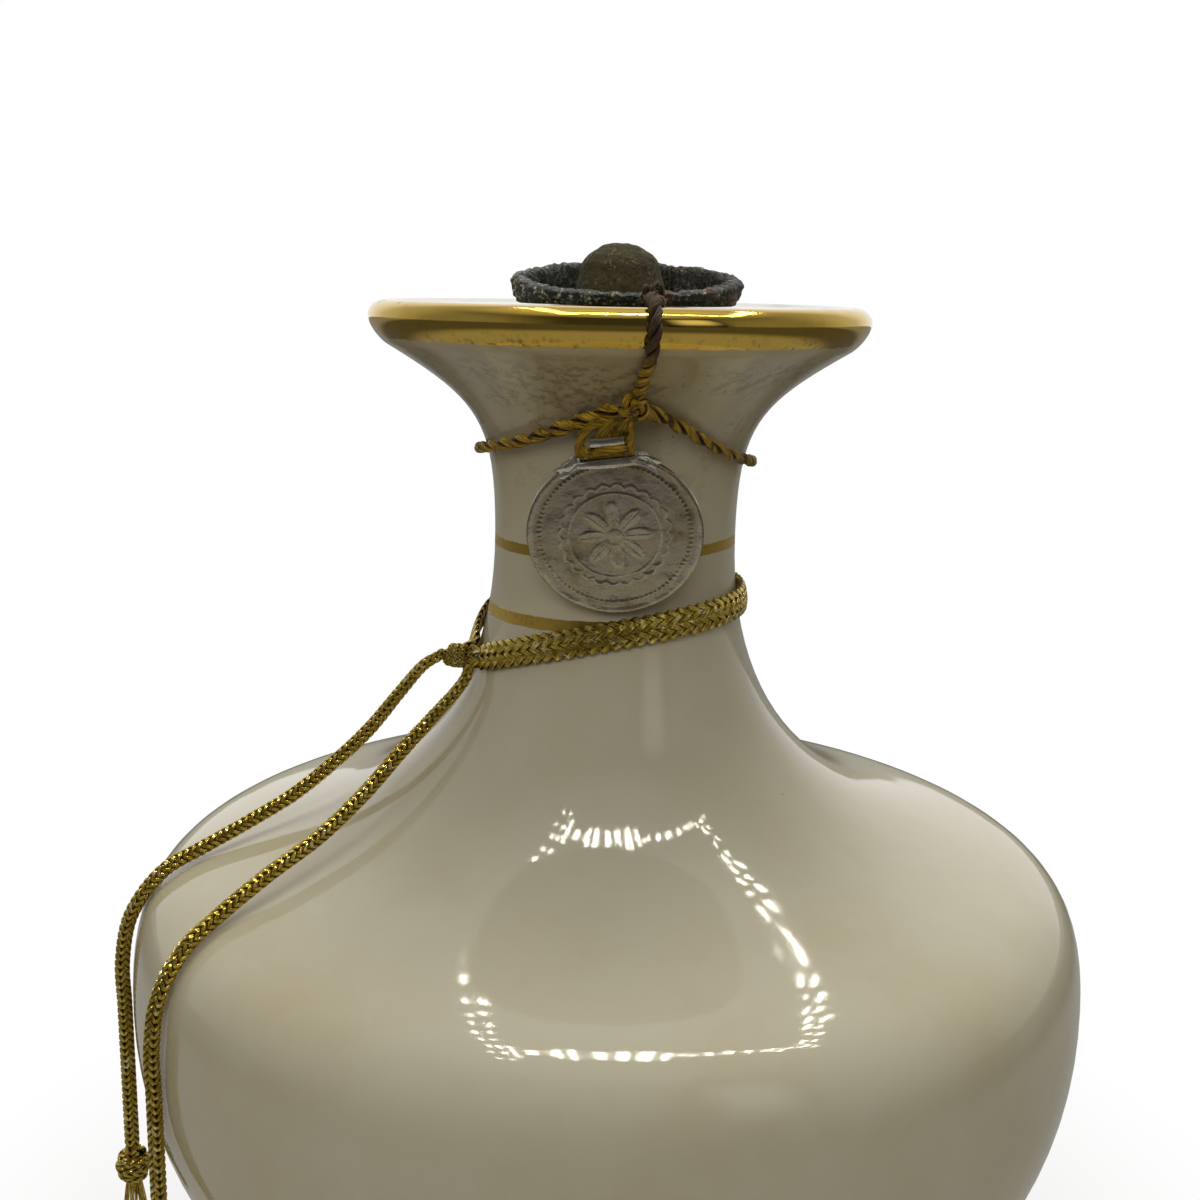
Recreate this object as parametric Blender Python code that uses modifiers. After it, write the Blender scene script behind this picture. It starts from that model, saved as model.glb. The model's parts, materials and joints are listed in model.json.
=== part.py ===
"""A squat porcelain liqueur bottle: a broad onion body, a narrow waisted neck and a wide flared rim.

A cork stopper with a small domed knob sits in the mouth, inside an opened, pleated foil cup.
Twine is tied to the cup, runs over the rim, loops the neck and carries a round stamped seal.
A flat metallic braid goes once round the neck, is knotted at the left, and its two tails run
over the shoulder and hang down the body, each with a knot and a tuft at its end.

Metres, +Z up, origin at the middle of the foot's underside, and the seal faces -Y.
A drop is a height measured downwards from the rim, and an azimuth turns from -Y towards +X.
"""

import math

import bmesh
import bpy
import numpy as np
from mathutils import Matrix, Vector

# The porcelain body
HEIGHT = 0.172
CROWN_RADIUS = 0.0372
RIM_RADIUS = 0.0400
RIM_WIDEST_DROP = 0.0024
UNDERLIP_RADIUS = 0.0370
UNDERLIP_DROP = 0.00685
WAIST_RADIUS = 0.0198
WAIST_DROP = 0.0373
SHOULDER_RADIUS = 0.0499
SHOULDER_DROP = 0.0837
BELLY_RADIUS = 0.0795
BELLY_DROP = 0.112
HEEL_RADIUS = 0.0475
FOOT_HEIGHT = 0.0045
FOOT_RADIUS = 0.0460
FOOT_WIDTH = 0.0060
FOOT_RECESS = 0.0025
WALL = 0.0045
FLOOR_THICKNESS = 0.0060
TOP_RECESS = 0.0005
RECESS_RADIUS = 0.0330
MOUTH_RADIUS = 0.0110
SEAT_LENGTH = 0.0200
THROAT_LENGTH = 0.0090

# The way the outline runs at each station, from straight down, outwards positive
CROWN_LEAN = math.radians(90)
UNDERLIP_LEAN = math.radians(-59)
SHOULDER_LEAN = math.radians(70.4)
HEEL_LEAN = math.radians(-51)

# Handle lengths of each stretch of the outline, as shares of the stretch, and its points
CROWN_SHARES = (0.42, 0.36)
LIP_SHARES = (0.30, 0.24)
FLARE_SHARES = (0.48, 0.523)
NECK_SHARES = (0.395, 0.415)
SHOULDER_SHARES = (0.564, 0.569)
BELLY_SHARES = (0.41, 0.32)
LIP_STEPS = 4
FLARE_STEPS = 8
NECK_STEPS = 9
BODY_STEPS = 7
BODY_SIDES = 72

# The stopper
CORK_LENGTH = 0.0180
CORK_TAPER = 0.0004
CORK_CHAMFER = 0.0006
KNOB_BASE_RADIUS = 0.0077
KNOB_TOP_RADIUS = 0.0063
KNOB_HEIGHT = 0.0095
KNOB_SHOULDER_HEIGHT = 0.0058
PEG_RADIUS = 0.0030
PEG_LENGTH = 0.0100
TURNED_SIDES = 32

# The opened foil cup round the mouth
CUP_RADIUS = 0.0184
CUP_TAPER = 0.0010
CUP_HEIGHT = 0.0044
CUP_WALL = 0.0018
CUP_FLOOR = 0.0008
CUP_SHIFT = 0.0010
CUP_TILT_SHARE = 0.145
CUP_PLEATS = 44
CUP_PLEAT_DEPTH = 0.0003
CUP_CORNERS = 8
CUP_CORNER_DEPTH = 0.00025

# The twine
TWINE_DIAMETER = 0.0016
HANGER_DIAMETER = 0.0013
FRONT_KNOT_AZIMUTH = math.radians(4.2)
FRONT_KNOT_DROP = 0.0128
FRONT_KNOT_HALF = (0.0026, 0.0016, 0.0021)
TOP_KNOT_RADIUS = 0.0019
TOP_KNOT_AZIMUTH = math.radians(10.7)
TOP_KNOT_HEIGHT = 0.0016
RISER_RIM_AZIMUTH = math.radians(6.8)
LOOP_AZIMUTHS = (22, 35, 55, 80, 110, 145, 180, 215, 250, 280, 303, 322, 337)
LOOP_DROPS = (0.0166, 0.0195, 0.0224, 0.0242, 0.0250, 0.0253, 0.0252, 0.0248, 0.0240, 0.0228, 0.0214, 0.0198, 0.0176)

# The seal: a stamped disc with a backing disc, hung on a bar and two strands
SEAL_RADIUS = 0.0131
SEAL_FLAT = 0.0120
SEAL_FRONT_THICKNESS = 0.0007
SEAL_BACK_THICKNESS = 0.0005
SEAL_RIM_WIDTH = 0.0008
SEAL_RIM_HEIGHT = 0.0004
SEAL_BEAD_RADIUS = 0.0112
SEAL_BEAD_WIDTH = 0.0005
SEAL_BEAD_HEIGHT = 0.00018
SEAL_BOSS_RADIUS = 0.0066
SEAL_BOSS_HEIGHT = 0.0003
SEAL_CENTRE_DROP = 0.0331
SEAL_STAND_OFF = 0.0057
SEAL_LEAN = math.radians(17)
SEAL_ROLL = math.radians(-6.5)
BAR_LENGTH = 0.0044
BAR_RADIUS = 0.00075
BAR_BORE = 0.0003
STRAND_TOP_SHARES = (-0.10, 0.36)
STRAND_FOOT_SHARES = (-0.290, 0.270)
STRAND_BOW = 0.0010

# The braid round the neck, its knot and its tails
BRAID_WIDTH = 0.0042
BRAID_THICKNESS = 0.0015
BRAID_AZIMUTHS = (-64, -52, -25, 4, 39, 80, 125, 170, 215, 250, 270, 280, 283.5)
BRAID_DROPS = (0.0567, 0.0552, 0.0521, 0.0495, 0.0474, 0.0466, 0.0463, 0.0467, 0.0480, 0.0500, 0.0515, 0.0526, 0.0532)
CORD_DIAMETER = 0.0026
CORD_KNOT_CENTRE = (-0.0252, -0.0094, 0.1157)
CORD_KNOT_HALF = (0.0029, 0.0021, 0.0022)
CORD_KNOT_YAW = math.radians(161)
END_KNOT_RADIUS = 0.0029
END_KNOT_LENGTH = 0.0056
TUFT_LENGTH = 0.0080
TUFT_TOP_RADIUS = 0.0012
TUFT_FOOT_RADIUS = 0.0024

# The tails' routes, from the knot to the end, in metres
TAIL_1_ROUTE = (
    (-0.0286, -0.0088, 0.1151),
    (-0.0311, -0.0083, 0.1133),
    (-0.0350, -0.0077, 0.1085),
    (-0.0400, -0.0073, 0.1022),
    (-0.0455, -0.0078, 0.0968),
    (-0.0522, -0.0100, 0.0915),
    (-0.0590, -0.0130, 0.0877),
    (-0.0656, -0.0160, 0.0844),
    (-0.0719, -0.0186, 0.0809),
    (-0.0766, -0.0204, 0.0743),
    (-0.0782, -0.0211, 0.0665),
    (-0.0782, -0.0211, 0.0590),
    (-0.0782, -0.0211, 0.0500),
    (-0.0782, -0.0211, 0.0400),
    (-0.0782, -0.0211, 0.0330),
)
TAIL_2_ROUTE = (
    (-0.0233, -0.0116, 0.1131),
    (-0.0247, -0.0134, 0.1110),
    (-0.0285, -0.0150, 0.1068),
    (-0.0335, -0.0178, 0.1015),
    (-0.0385, -0.0226, 0.0962),
    (-0.0443, -0.0289, 0.0915),
    (-0.0505, -0.0352, 0.0880),
    (-0.0563, -0.0405, 0.0840),
    (-0.0609, -0.0444, 0.0800),
    (-0.0640, -0.0471, 0.0739),
    (-0.0651, -0.0481, 0.0664),
    (-0.0651, -0.0481, 0.0590),
    (-0.0651, -0.0481, 0.0500),
    (-0.0651, -0.0481, 0.0400),
    (-0.0651, -0.0481, 0.0290),
    (-0.0651, -0.0481, 0.0230),
)

# Clearance between pieces that touch, and how far cutters run past what they cut
CLEARANCE = 0.0003
OVERRUN = 0.002

COLLECTION_NAME = "porcelain_liqueur_bottle"
CUTTER_COLLECTION_NAME = "cutters"
MERGE_DISTANCE = 0.00001
ROUNDED_START_ANGLES = (75, 50, 25)


def clear_scene():
    for old in list(bpy.data.objects):
        bpy.data.objects.remove(old, do_unlink=True)


def make_collection(name):
    collection = bpy.data.collections.new(name)
    bpy.context.scene.collection.children.link(collection)
    return collection


def make_material(name, colour, roughness, metallic=0.0):
    material = bpy.data.materials.new(name)
    material.use_nodes = True
    shader = material.node_tree.nodes["Principled BSDF"]
    shader.inputs["Base Color"].default_value = (*colour, 1.0)
    shader.inputs["Roughness"].default_value = roughness
    shader.inputs["Metallic"].default_value = metallic
    material.diffuse_color = (*colour, 1.0)
    return material


def add_object(name, data, material, collection, parent=None):
    """Links a new object that holds the data, with one material."""
    obj = bpy.data.objects.new(name, data)
    if material:
        obj.data.materials.append(material)
    collection.objects.link(obj)
    if parent:
        obj.parent = parent
    return obj


def add_axis(name, place, collection):
    """An empty on a joint's axis, which carries the pieces that move about it."""
    axis = bpy.data.objects.new(name, None)
    axis.empty_display_size = WALL
    axis.location = place
    collection.objects.link(axis)
    return axis


def turned(name, profile, material, collection, sides=TURNED_SIDES, parent=None):
    """A solid of revolution from (radius, height) points that run down the outer side."""
    mesh = bpy.data.meshes.new(name)
    points = [(radius, 0, height) for radius, height in profile]
    edges = [(i, i + 1) for i in range(len(points) - 1)]
    mesh.from_pydata(points, edges, [])
    obj = add_object(name, mesh, material, collection, parent)
    screw = obj.modifiers.new("turn", "SCREW")
    screw.axis = "Z"
    screw.steps = sides
    screw.render_steps = sides
    screw.use_merge_vertices = True
    screw.merge_threshold = MERGE_DISTANCE
    screw.use_smooth_shade = True
    return obj


def smooth_path(route, spacing, closed=False):
    """Points every so often along a smooth curve through the route's points."""
    points = [Vector(p) for p in route]
    count = len(points)
    curve = []
    for i in range(count if closed else count - 1):
        if closed:
            before, start, end, after = (points[(i + k) % count] for k in (-1, 0, 1, 2))
        else:
            before, start, end, after = (points[min(max(i + k, 0), count - 1)] for k in (-1, 0, 1, 2))
        steps = math.ceil((end - start).length / spacing)
        for step in range(steps):
            t = step / steps
            tangent_in = (end - before) / 2
            tangent_out = (after - start) / 2
            curve.append(
                start * (2 * t**3 - 3 * t**2 + 1)
                + tangent_in * (t**3 - 2 * t**2 + t)
                + end * (3 * t**2 - 2 * t**3)
                + tangent_out * (t**3 - t**2)
            )
    if not closed:
        curve.append(points[-1])
    return curve


def tube(name, points, diameter, material, collection, parent=None, section=None, leans=None, rounded=False):
    """A tube along the points, round or with the section of another curve, and with a rounded start if asked."""
    sizes = [1] * len(points)
    if rounded:
        ahead = (points[0] - points[1]).normalized() * diameter / 2
        angles = [math.radians(a) for a in ROUNDED_START_ANGLES]
        sizes = [math.cos(a) for a in angles] + sizes
        points = [points[0] + ahead * math.sin(a) for a in angles] + list(points)
    curve = bpy.data.curves.new(name, "CURVE")
    curve.dimensions = "3D"
    curve.use_fill_caps = True
    curve.bevel_resolution = 2
    if section:
        curve.bevel_mode = "OBJECT"
        curve.bevel_object = section
        curve.twist_mode = "Z_UP"
    else:
        curve.bevel_depth = diameter / 2
        curve.twist_mode = "MINIMUM"
    spline = curve.splines.new("POLY")
    spline.points.add(len(points) - 1)
    for i, place in enumerate(points):
        spline.points[i].co = (*place, 1)
        spline.points[i].radius = sizes[i]
        if leans is not None:
            spline.points[i].tilt = leans[i]
    return add_object(name, curve, material, collection, parent)


def stretch(start, start_lean, end, end_lean, shares, steps):
    """One curved stretch of an outline in (radius, drop), without its last point."""
    start = np.array(start)
    end = np.array(end)
    span = np.linalg.norm(end - start)
    first = start + span * shares[0] * np.array((math.sin(start_lean), math.cos(start_lean)))
    second = end - span * shares[1] * np.array((math.sin(end_lean), math.cos(end_lean)))
    t = (np.arange(steps) / steps)[:, None]
    return (1 - t) ** 3 * start + 3 * (1 - t) ** 2 * t * first + 3 * (1 - t) * t**2 * second + t**3 * end


def bottle_outline():
    """The outside of the body in (radius, drop), from the crown of the rim down to the heel."""
    crown = (CROWN_RADIUS, 0)
    rim = (RIM_RADIUS, RIM_WIDEST_DROP)
    underlip = (UNDERLIP_RADIUS, UNDERLIP_DROP)
    waist = (WAIST_RADIUS, WAIST_DROP)
    shoulder = (SHOULDER_RADIUS, SHOULDER_DROP)
    belly = (BELLY_RADIUS, BELLY_DROP)
    heel = (HEEL_RADIUS, HEIGHT - FOOT_HEIGHT)
    stretches = (
        stretch(crown, CROWN_LEAN, rim, 0, CROWN_SHARES, LIP_STEPS),
        stretch(rim, 0, underlip, UNDERLIP_LEAN, LIP_SHARES, LIP_STEPS),
        stretch(underlip, UNDERLIP_LEAN, waist, 0, FLARE_SHARES, FLARE_STEPS),
        stretch(waist, 0, shoulder, SHOULDER_LEAN, NECK_SHARES, NECK_STEPS),
        stretch(shoulder, SHOULDER_LEAN, belly, 0, SHOULDER_SHARES, BODY_STEPS),
        stretch(belly, 0, heel, HEEL_LEAN, BELLY_SHARES, BODY_STEPS),
        [heel],
    )
    return np.vstack(stretches)


def outward_normals(outline):
    """Unit vectors square to an outline in (radius, drop), pointing away from the porcelain."""
    along = np.gradient(outline, axis=0)
    normals = np.stack((along[:, 1], -along[:, 0]), axis=1)
    return normals / np.linalg.norm(normals, axis=1)[:, None]


OUTLINE = bottle_outline()
NORMALS = outward_normals(OUTLINE)


def on_surface(azimuth, drop, stand_off):
    """A point outside the flare, neck or shoulder, and how far the surface leans there."""
    below_lip = OUTLINE[:, 1] >= UNDERLIP_DROP
    drops = OUTLINE[below_lip, 1]
    radius = np.interp(drop, drops, OUTLINE[below_lip, 0])
    out = np.interp(drop, drops, NORMALS[below_lip, 0])
    down = np.interp(drop, drops, NORMALS[below_lip, 1])
    reach = radius + stand_off * out
    place = Vector((reach * math.sin(azimuth), -reach * math.cos(azimuth), HEIGHT - drop - stand_off * down))
    return place, math.atan2(down, out)


def body_profile():
    """The body's closed profile in (radius, height), up the inside and down the outside."""
    inner = OUTLINE - WALL * NORMALS
    floor_height = FOOT_RECESS + FLOOR_THICKNESS
    throat_drop = SEAT_LENGTH + THROAT_LENGTH
    inside = [p for p in inner[::3] if p[1] > throat_drop + WALL and HEIGHT - p[1] > floor_height + WALL]
    profile = [(0, floor_height), (FOOT_RADIUS - WALL, floor_height)]
    profile += [(radius, HEIGHT - drop) for radius, drop in reversed(inside)]
    profile += [
        (WAIST_RADIUS - WALL, HEIGHT - throat_drop),
        (MOUTH_RADIUS, HEIGHT - SEAT_LENGTH),
        (MOUTH_RADIUS, HEIGHT - TOP_RECESS),
        (RECESS_RADIUS, HEIGHT - TOP_RECESS),
    ]
    profile += [(radius, HEIGHT - drop) for radius, drop in OUTLINE]
    profile += [
        (FOOT_RADIUS, 0),
        (FOOT_RADIUS - FOOT_WIDTH, 0),
        (FOOT_RADIUS - FOOT_WIDTH - FOOT_RECESS, FOOT_RECESS),
        (0, FOOT_RECESS),
    ]
    return profile


def make_body(parts):
    porcelain = make_material("porcelain", (0.62, 0.57, 0.47), 0.12)
    turned("bottle_body", body_profile(), porcelain, parts, BODY_SIDES)


def make_stopper(parts):
    """The cork and its knob, which lift out together."""
    axis = add_axis("stopper_axis", (0, 0, HEIGHT - TOP_RECESS), parts)
    cork_radius = MOUTH_RADIUS - CLEARANCE
    hole_radius = PEG_RADIUS + CLEARANCE
    cork = make_material("cork", (0.36, 0.25, 0.14), 0.85)
    cork_profile = [
        (0, -PEG_LENGTH - 2 * CLEARANCE),
        (hole_radius, -PEG_LENGTH - 2 * CLEARANCE),
        (hole_radius, 0),
        (cork_radius - CORK_CHAMFER, 0),
        (cork_radius, -CORK_CHAMFER),
        (cork_radius - CORK_TAPER, CORK_CHAMFER - CORK_LENGTH),
        (cork_radius - CORK_TAPER - CORK_CHAMFER, -CORK_LENGTH),
        (0, -CORK_LENGTH),
    ]
    turned("stopper_cork", cork_profile, cork, parts, parent=axis)
    wood = make_material("knob_wood", (0.20, 0.15, 0.08), 0.75)
    flank = [
        (KNOB_TOP_RADIUS * math.cos(a), KNOB_SHOULDER_HEIGHT + (KNOB_HEIGHT - KNOB_SHOULDER_HEIGHT) * math.sin(a))
        for a in (math.radians(d) for d in range(90, -1, -15))
    ]
    knob_profile = [(radius, height + TOP_RECESS) for radius, height in flank[:-1]]
    knob_profile += [
        (KNOB_TOP_RADIUS, KNOB_SHOULDER_HEIGHT + TOP_RECESS),
        ((KNOB_TOP_RADIUS + KNOB_BASE_RADIUS) / 2, KNOB_SHOULDER_HEIGHT / 2),
        (KNOB_BASE_RADIUS, CLEARANCE),
        (PEG_RADIUS, CLEARANCE),
        (PEG_RADIUS, -PEG_LENGTH),
        (0, -PEG_LENGTH),
    ]
    knob_profile[0] = (0, KNOB_HEIGHT + TOP_RECESS)
    turned("stopper_knob", knob_profile, wood, parts, parent=axis)


def make_cup(parts):
    """The foil cup: a pleated ring wall, higher at the back, on a flat floor with the mouth's hole."""
    hole = MOUTH_RADIUS + CLEARANCE
    foot = CUP_RADIUS - CUP_TAPER
    inner_foot = foot - CUP_WALL
    inner_top = CUP_RADIUS - CUP_WALL
    ring = [
        (hole, 0),
        (foot - CUP_FLOOR, 0),
        (foot, CUP_FLOOR),
        ((foot + CUP_RADIUS) / 2, CUP_HEIGHT / 2),
        (CUP_RADIUS, CUP_HEIGHT - CUP_WALL / 2),
        (CUP_RADIUS - CUP_WALL / 4, CUP_HEIGHT - CUP_WALL / 8),
        (CUP_RADIUS - CUP_WALL / 2, CUP_HEIGHT),
        (CUP_RADIUS - 3 * CUP_WALL / 4, CUP_HEIGHT - CUP_WALL / 8),
        (inner_top, CUP_HEIGHT - CUP_WALL / 2),
        (inner_foot, CUP_FLOOR + CUP_WALL / 4),
        (inner_foot - CUP_WALL / 2, CUP_FLOOR),
        (hole, CUP_FLOOR),
    ]
    steps = 2 * CUP_PLEATS
    mesh = bmesh.new()
    corners = [mesh.verts.new((radius, 0, height)) for radius, height in ring]
    loop = [mesh.edges.new((corners[i - 1], corners[i])) for i in range(len(corners))]
    bmesh.ops.spin(
        mesh, geom=corners + loop, axis=(0, 0, 1), cent=(0, 0, 0), angle=math.tau, steps=steps, use_merge=True
    )
    bmesh.ops.remove_doubles(mesh, verts=mesh.verts, dist=MERGE_DISTANCE)
    bmesh.ops.recalc_face_normals(mesh, faces=mesh.faces)
    for vertex in mesh.verts:
        radius = math.hypot(vertex.co.x, vertex.co.y)
        azimuth = math.atan2(vertex.co.y, vertex.co.x)
        share = max(0.0, (vertex.co.z - CUP_FLOOR) / (CUP_HEIGHT - CUP_FLOOR))
        if radius < inner_foot - CUP_WALL:
            vertex.co.x -= CUP_SHIFT
            continue
        fold = 1 if round(azimuth * steps / math.tau) % 2 else -1
        outside = radius > foot - CUP_WALL / 4
        reach = radius + share * CUP_CORNER_DEPTH * math.cos(CUP_CORNERS * azimuth)
        if outside:
            reach += fold * CUP_PLEAT_DEPTH / 2
        vertex.co.x *= reach / radius
        vertex.co.y *= reach / radius
        vertex.co.z += share * CUP_TILT_SHARE * vertex.co.y
    data = bpy.data.meshes.new("capsule_cup")
    mesh.to_mesh(data)
    mesh.free()
    foil = make_material("tarnished_foil", (0.05, 0.06, 0.055), 0.6, 0.4)
    cup = add_object("capsule_cup", data, foil, parts)
    cup.location = (CUP_SHIFT, 0, HEIGHT - TOP_RECESS + CLEARANCE)


def lump(name, centre, half, turn, material, collection, ridges=3, parent=None):
    """A knot: a rounded body with a few soft ridges across it."""
    mesh = bmesh.new()
    bmesh.ops.create_uvsphere(mesh, u_segments=18, v_segments=12, radius=1)
    for vertex in mesh.verts:
        around = math.atan2(vertex.co.y, vertex.co.z)
        swell = 1 - 0.05 * (1 + math.cos(ridges * math.pi * vertex.co.x + around))
        vertex.co = Vector((vertex.co.x * half[0], vertex.co.y * half[1] * swell, vertex.co.z * half[2] * swell))
    data = bpy.data.meshes.new(name)
    mesh.to_mesh(data)
    mesh.free()
    data.shade_smooth()
    obj = add_object(name, data, material, collection, parent)
    obj.location = centre
    obj.rotation_euler = turn
    return obj


def riser_path(knot_place):
    """The twine from the top knot out over the rim and down the flare to the front knot."""
    stand_off = CLEARANCE + TWINE_DIAMETER / 2
    start_azimuth = math.atan2(knot_place[0], -knot_place[1])
    start_radius = math.hypot(knot_place[0], knot_place[1]) + TOP_KNOT_RADIUS + CLEARANCE
    end_drop = FRONT_KNOT_DROP - FRONT_KNOT_HALF[2]
    over = OUTLINE[OUTLINE[:, 1] < end_drop]
    flat = np.linspace(start_radius, RECESS_RADIUS, 5)
    top = np.stack((flat, np.full(len(flat), TOP_RECESS)), axis=1)
    profile = np.vstack((top, over))
    profile = profile + stand_off * outward_normals(profile)
    path = []
    for i, (radius, drop) in enumerate(profile):
        if i < len(flat):
            share = (radius - start_radius) / (RIM_RADIUS - start_radius)
            azimuth = start_azimuth + (RISER_RIM_AZIMUTH - start_azimuth) * share
        else:
            share = max(0.0, drop / end_drop)
            azimuth = RISER_RIM_AZIMUTH + (FRONT_KNOT_AZIMUTH - RISER_RIM_AZIMUTH) * share**2
        path.append(Vector((radius * math.sin(azimuth), -radius * math.cos(azimuth), HEIGHT - drop)))
    return path


def front_knot_place():
    """The middle of the knot under the rim, and the surface's lean there."""
    return on_surface(FRONT_KNOT_AZIMUTH, FRONT_KNOT_DROP, CLEARANCE + FRONT_KNOT_HALF[1])


def print_least_gap(name, path, width):
    """Prints how near a winding comes to itself, leaving out its own nearest stretch."""
    near = 3 * width
    gap = math.inf
    for i, place in enumerate(path):
        run = 0
        for k in range(i + 1, len(path)):
            run += (path[k] - path[k - 1]).length
            if run > near:
                gap = min(gap, (path[k] - place).length - width)
    print(f"{name}: least gap to itself {gap * 1000:.2f} mm")


def make_twine(parts):
    """The top knot, the riser over the rim, the front knot and the loop round the neck."""
    twine = make_material("twine", (0.42, 0.26, 0.05), 0.75)
    stand_off = CLEARANCE + TWINE_DIAMETER / 2
    reach = CUP_RADIUS + CLEARANCE + TOP_KNOT_RADIUS
    top_place = (
        CUP_SHIFT + reach * math.sin(TOP_KNOT_AZIMUTH),
        -reach * math.cos(TOP_KNOT_AZIMUTH),
        HEIGHT + TOP_KNOT_HEIGHT,
    )
    top_half = (TOP_KNOT_RADIUS,) * 3
    lump("twine_top_knot", top_place, top_half, (0, 0, 0), twine, parts)
    tube("twine_riser", riser_path(top_place), TWINE_DIAMETER, twine, parts)
    knot_place, lean = front_knot_place()
    lump("twine_front_knot", knot_place, FRONT_KNOT_HALF, (lean, 0, FRONT_KNOT_AZIMUTH), twine, parts)
    knot_span = (FRONT_KNOT_HALF[0] + CLEARANCE) / math.hypot(knot_place.x, knot_place.y)
    stations = [(FRONT_KNOT_AZIMUTH + knot_span, FRONT_KNOT_DROP)]
    stations += [(math.radians(a), d) for a, d in zip(LOOP_AZIMUTHS, LOOP_DROPS)]
    stations += [(math.tau + FRONT_KNOT_AZIMUTH - knot_span, FRONT_KNOT_DROP)]
    path = [place for place, _lean in round_neck(stations, stand_off, 2.5 * TWINE_DIAMETER)]
    print_least_gap("twine_neck_loop", path, TWINE_DIAMETER)
    tube("twine_neck_loop", path, TWINE_DIAMETER, twine, parts)


def round_neck(stations, stand_off, spacing):
    """Places at the stand-off from the neck through (azimuth, drop) stations, each with the surface's lean."""
    route = [(azimuth * WAIST_RADIUS, drop, 0) for azimuth, drop in stations]
    return [on_surface(run / WAIST_RADIUS, drop, stand_off) for run, drop, _ in smooth_path(route, spacing)]


def seal_frame():
    """The seal's own frame: its middle, leaning in at the foot and turned a little in its plane."""
    centre = Vector((0, -(WAIST_RADIUS + SEAL_STAND_OFF), HEIGHT - SEAL_CENTRE_DROP))
    turn = Matrix.Rotation(SEAL_LEAN, 4, "X") @ Matrix.Rotation(SEAL_ROLL, 4, "Y")
    return Matrix.Translation(centre) @ turn


def seal_disc(name, profile, material, parts, cutters, parent, frame):
    """A turned disc that faces -Y, with its top cut off flat."""
    disc = turned(name, profile, material, parts, 48, parent)
    disc.matrix_parent_inverse = Matrix.Translation(parent.location).inverted()
    disc.matrix_basis = frame @ Matrix.Rotation(math.radians(90), 4, "X")
    cut = disc.modifiers.new("flat_top", "BOOLEAN")
    cut.operation = "DIFFERENCE"
    cut.object = cutters
    return disc


def make_seal(parts, cutters):
    """The stamped front, its back, the bar and the strands, all on the swing axis."""
    knot_place, _lean = front_knot_place()
    below_knot = FRONT_KNOT_HALF[2] + CLEARANCE + HANGER_DIAMETER / 2
    axis = add_axis("seal_axis", (0, knot_place.y, knot_place.z - below_knot), parts)
    frame = seal_frame()
    half_gap = CLEARANCE / 2
    face = half_gap + SEAL_FRONT_THICKNESS
    bead = SEAL_BEAD_WIDTH / 2
    front_profile = [
        (0, face + SEAL_BOSS_HEIGHT),
        (SEAL_BOSS_RADIUS, face + SEAL_BOSS_HEIGHT),
        (SEAL_BOSS_RADIUS + SEAL_BOSS_HEIGHT, face),
        (SEAL_BEAD_RADIUS - bead, face),
        (SEAL_BEAD_RADIUS, face + SEAL_BEAD_HEIGHT),
        (SEAL_BEAD_RADIUS + bead, face),
        (SEAL_RADIUS - SEAL_RIM_WIDTH, face),
        (SEAL_RADIUS - 2 * SEAL_RIM_WIDTH / 3, face + SEAL_RIM_HEIGHT),
        (SEAL_RADIUS - SEAL_RIM_WIDTH / 3, face + SEAL_RIM_HEIGHT),
        (SEAL_RADIUS, face),
        (SEAL_RADIUS, half_gap),
        (0, half_gap),
    ]
    back_radius = SEAL_RADIUS - SEAL_RIM_WIDTH / 2
    back_profile = [
        (0, -half_gap),
        (back_radius, -half_gap),
        (back_radius, -half_gap - SEAL_BACK_THICKNESS / 2),
        (back_radius - SEAL_RIM_WIDTH, -half_gap - SEAL_BACK_THICKNESS),
        (0, -half_gap - SEAL_BACK_THICKNESS),
    ]
    block = bmesh.new()
    bmesh.ops.create_cube(block, size=2 * SEAL_RADIUS)
    data = bpy.data.meshes.new("seal_top_cutter")
    block.to_mesh(data)
    block.free()
    cutter = add_object("seal_top_cutter", data, None, cutters)
    cutter.matrix_world = frame @ Matrix.Translation((0, 0, SEAL_FLAT + SEAL_RADIUS))
    cutter.hide_render = True
    cutter.display_type = "WIRE"
    tin = make_material("stamped_aluminium", (0.55, 0.54, 0.50), 0.35, 1.0)
    seal_disc("seal_front", front_profile, tin, parts, cutter, axis, frame)
    seal_disc("seal_back", back_profile, tin, parts, cutter, axis, frame)
    make_hanger(parts, axis, frame, tin)


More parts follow.
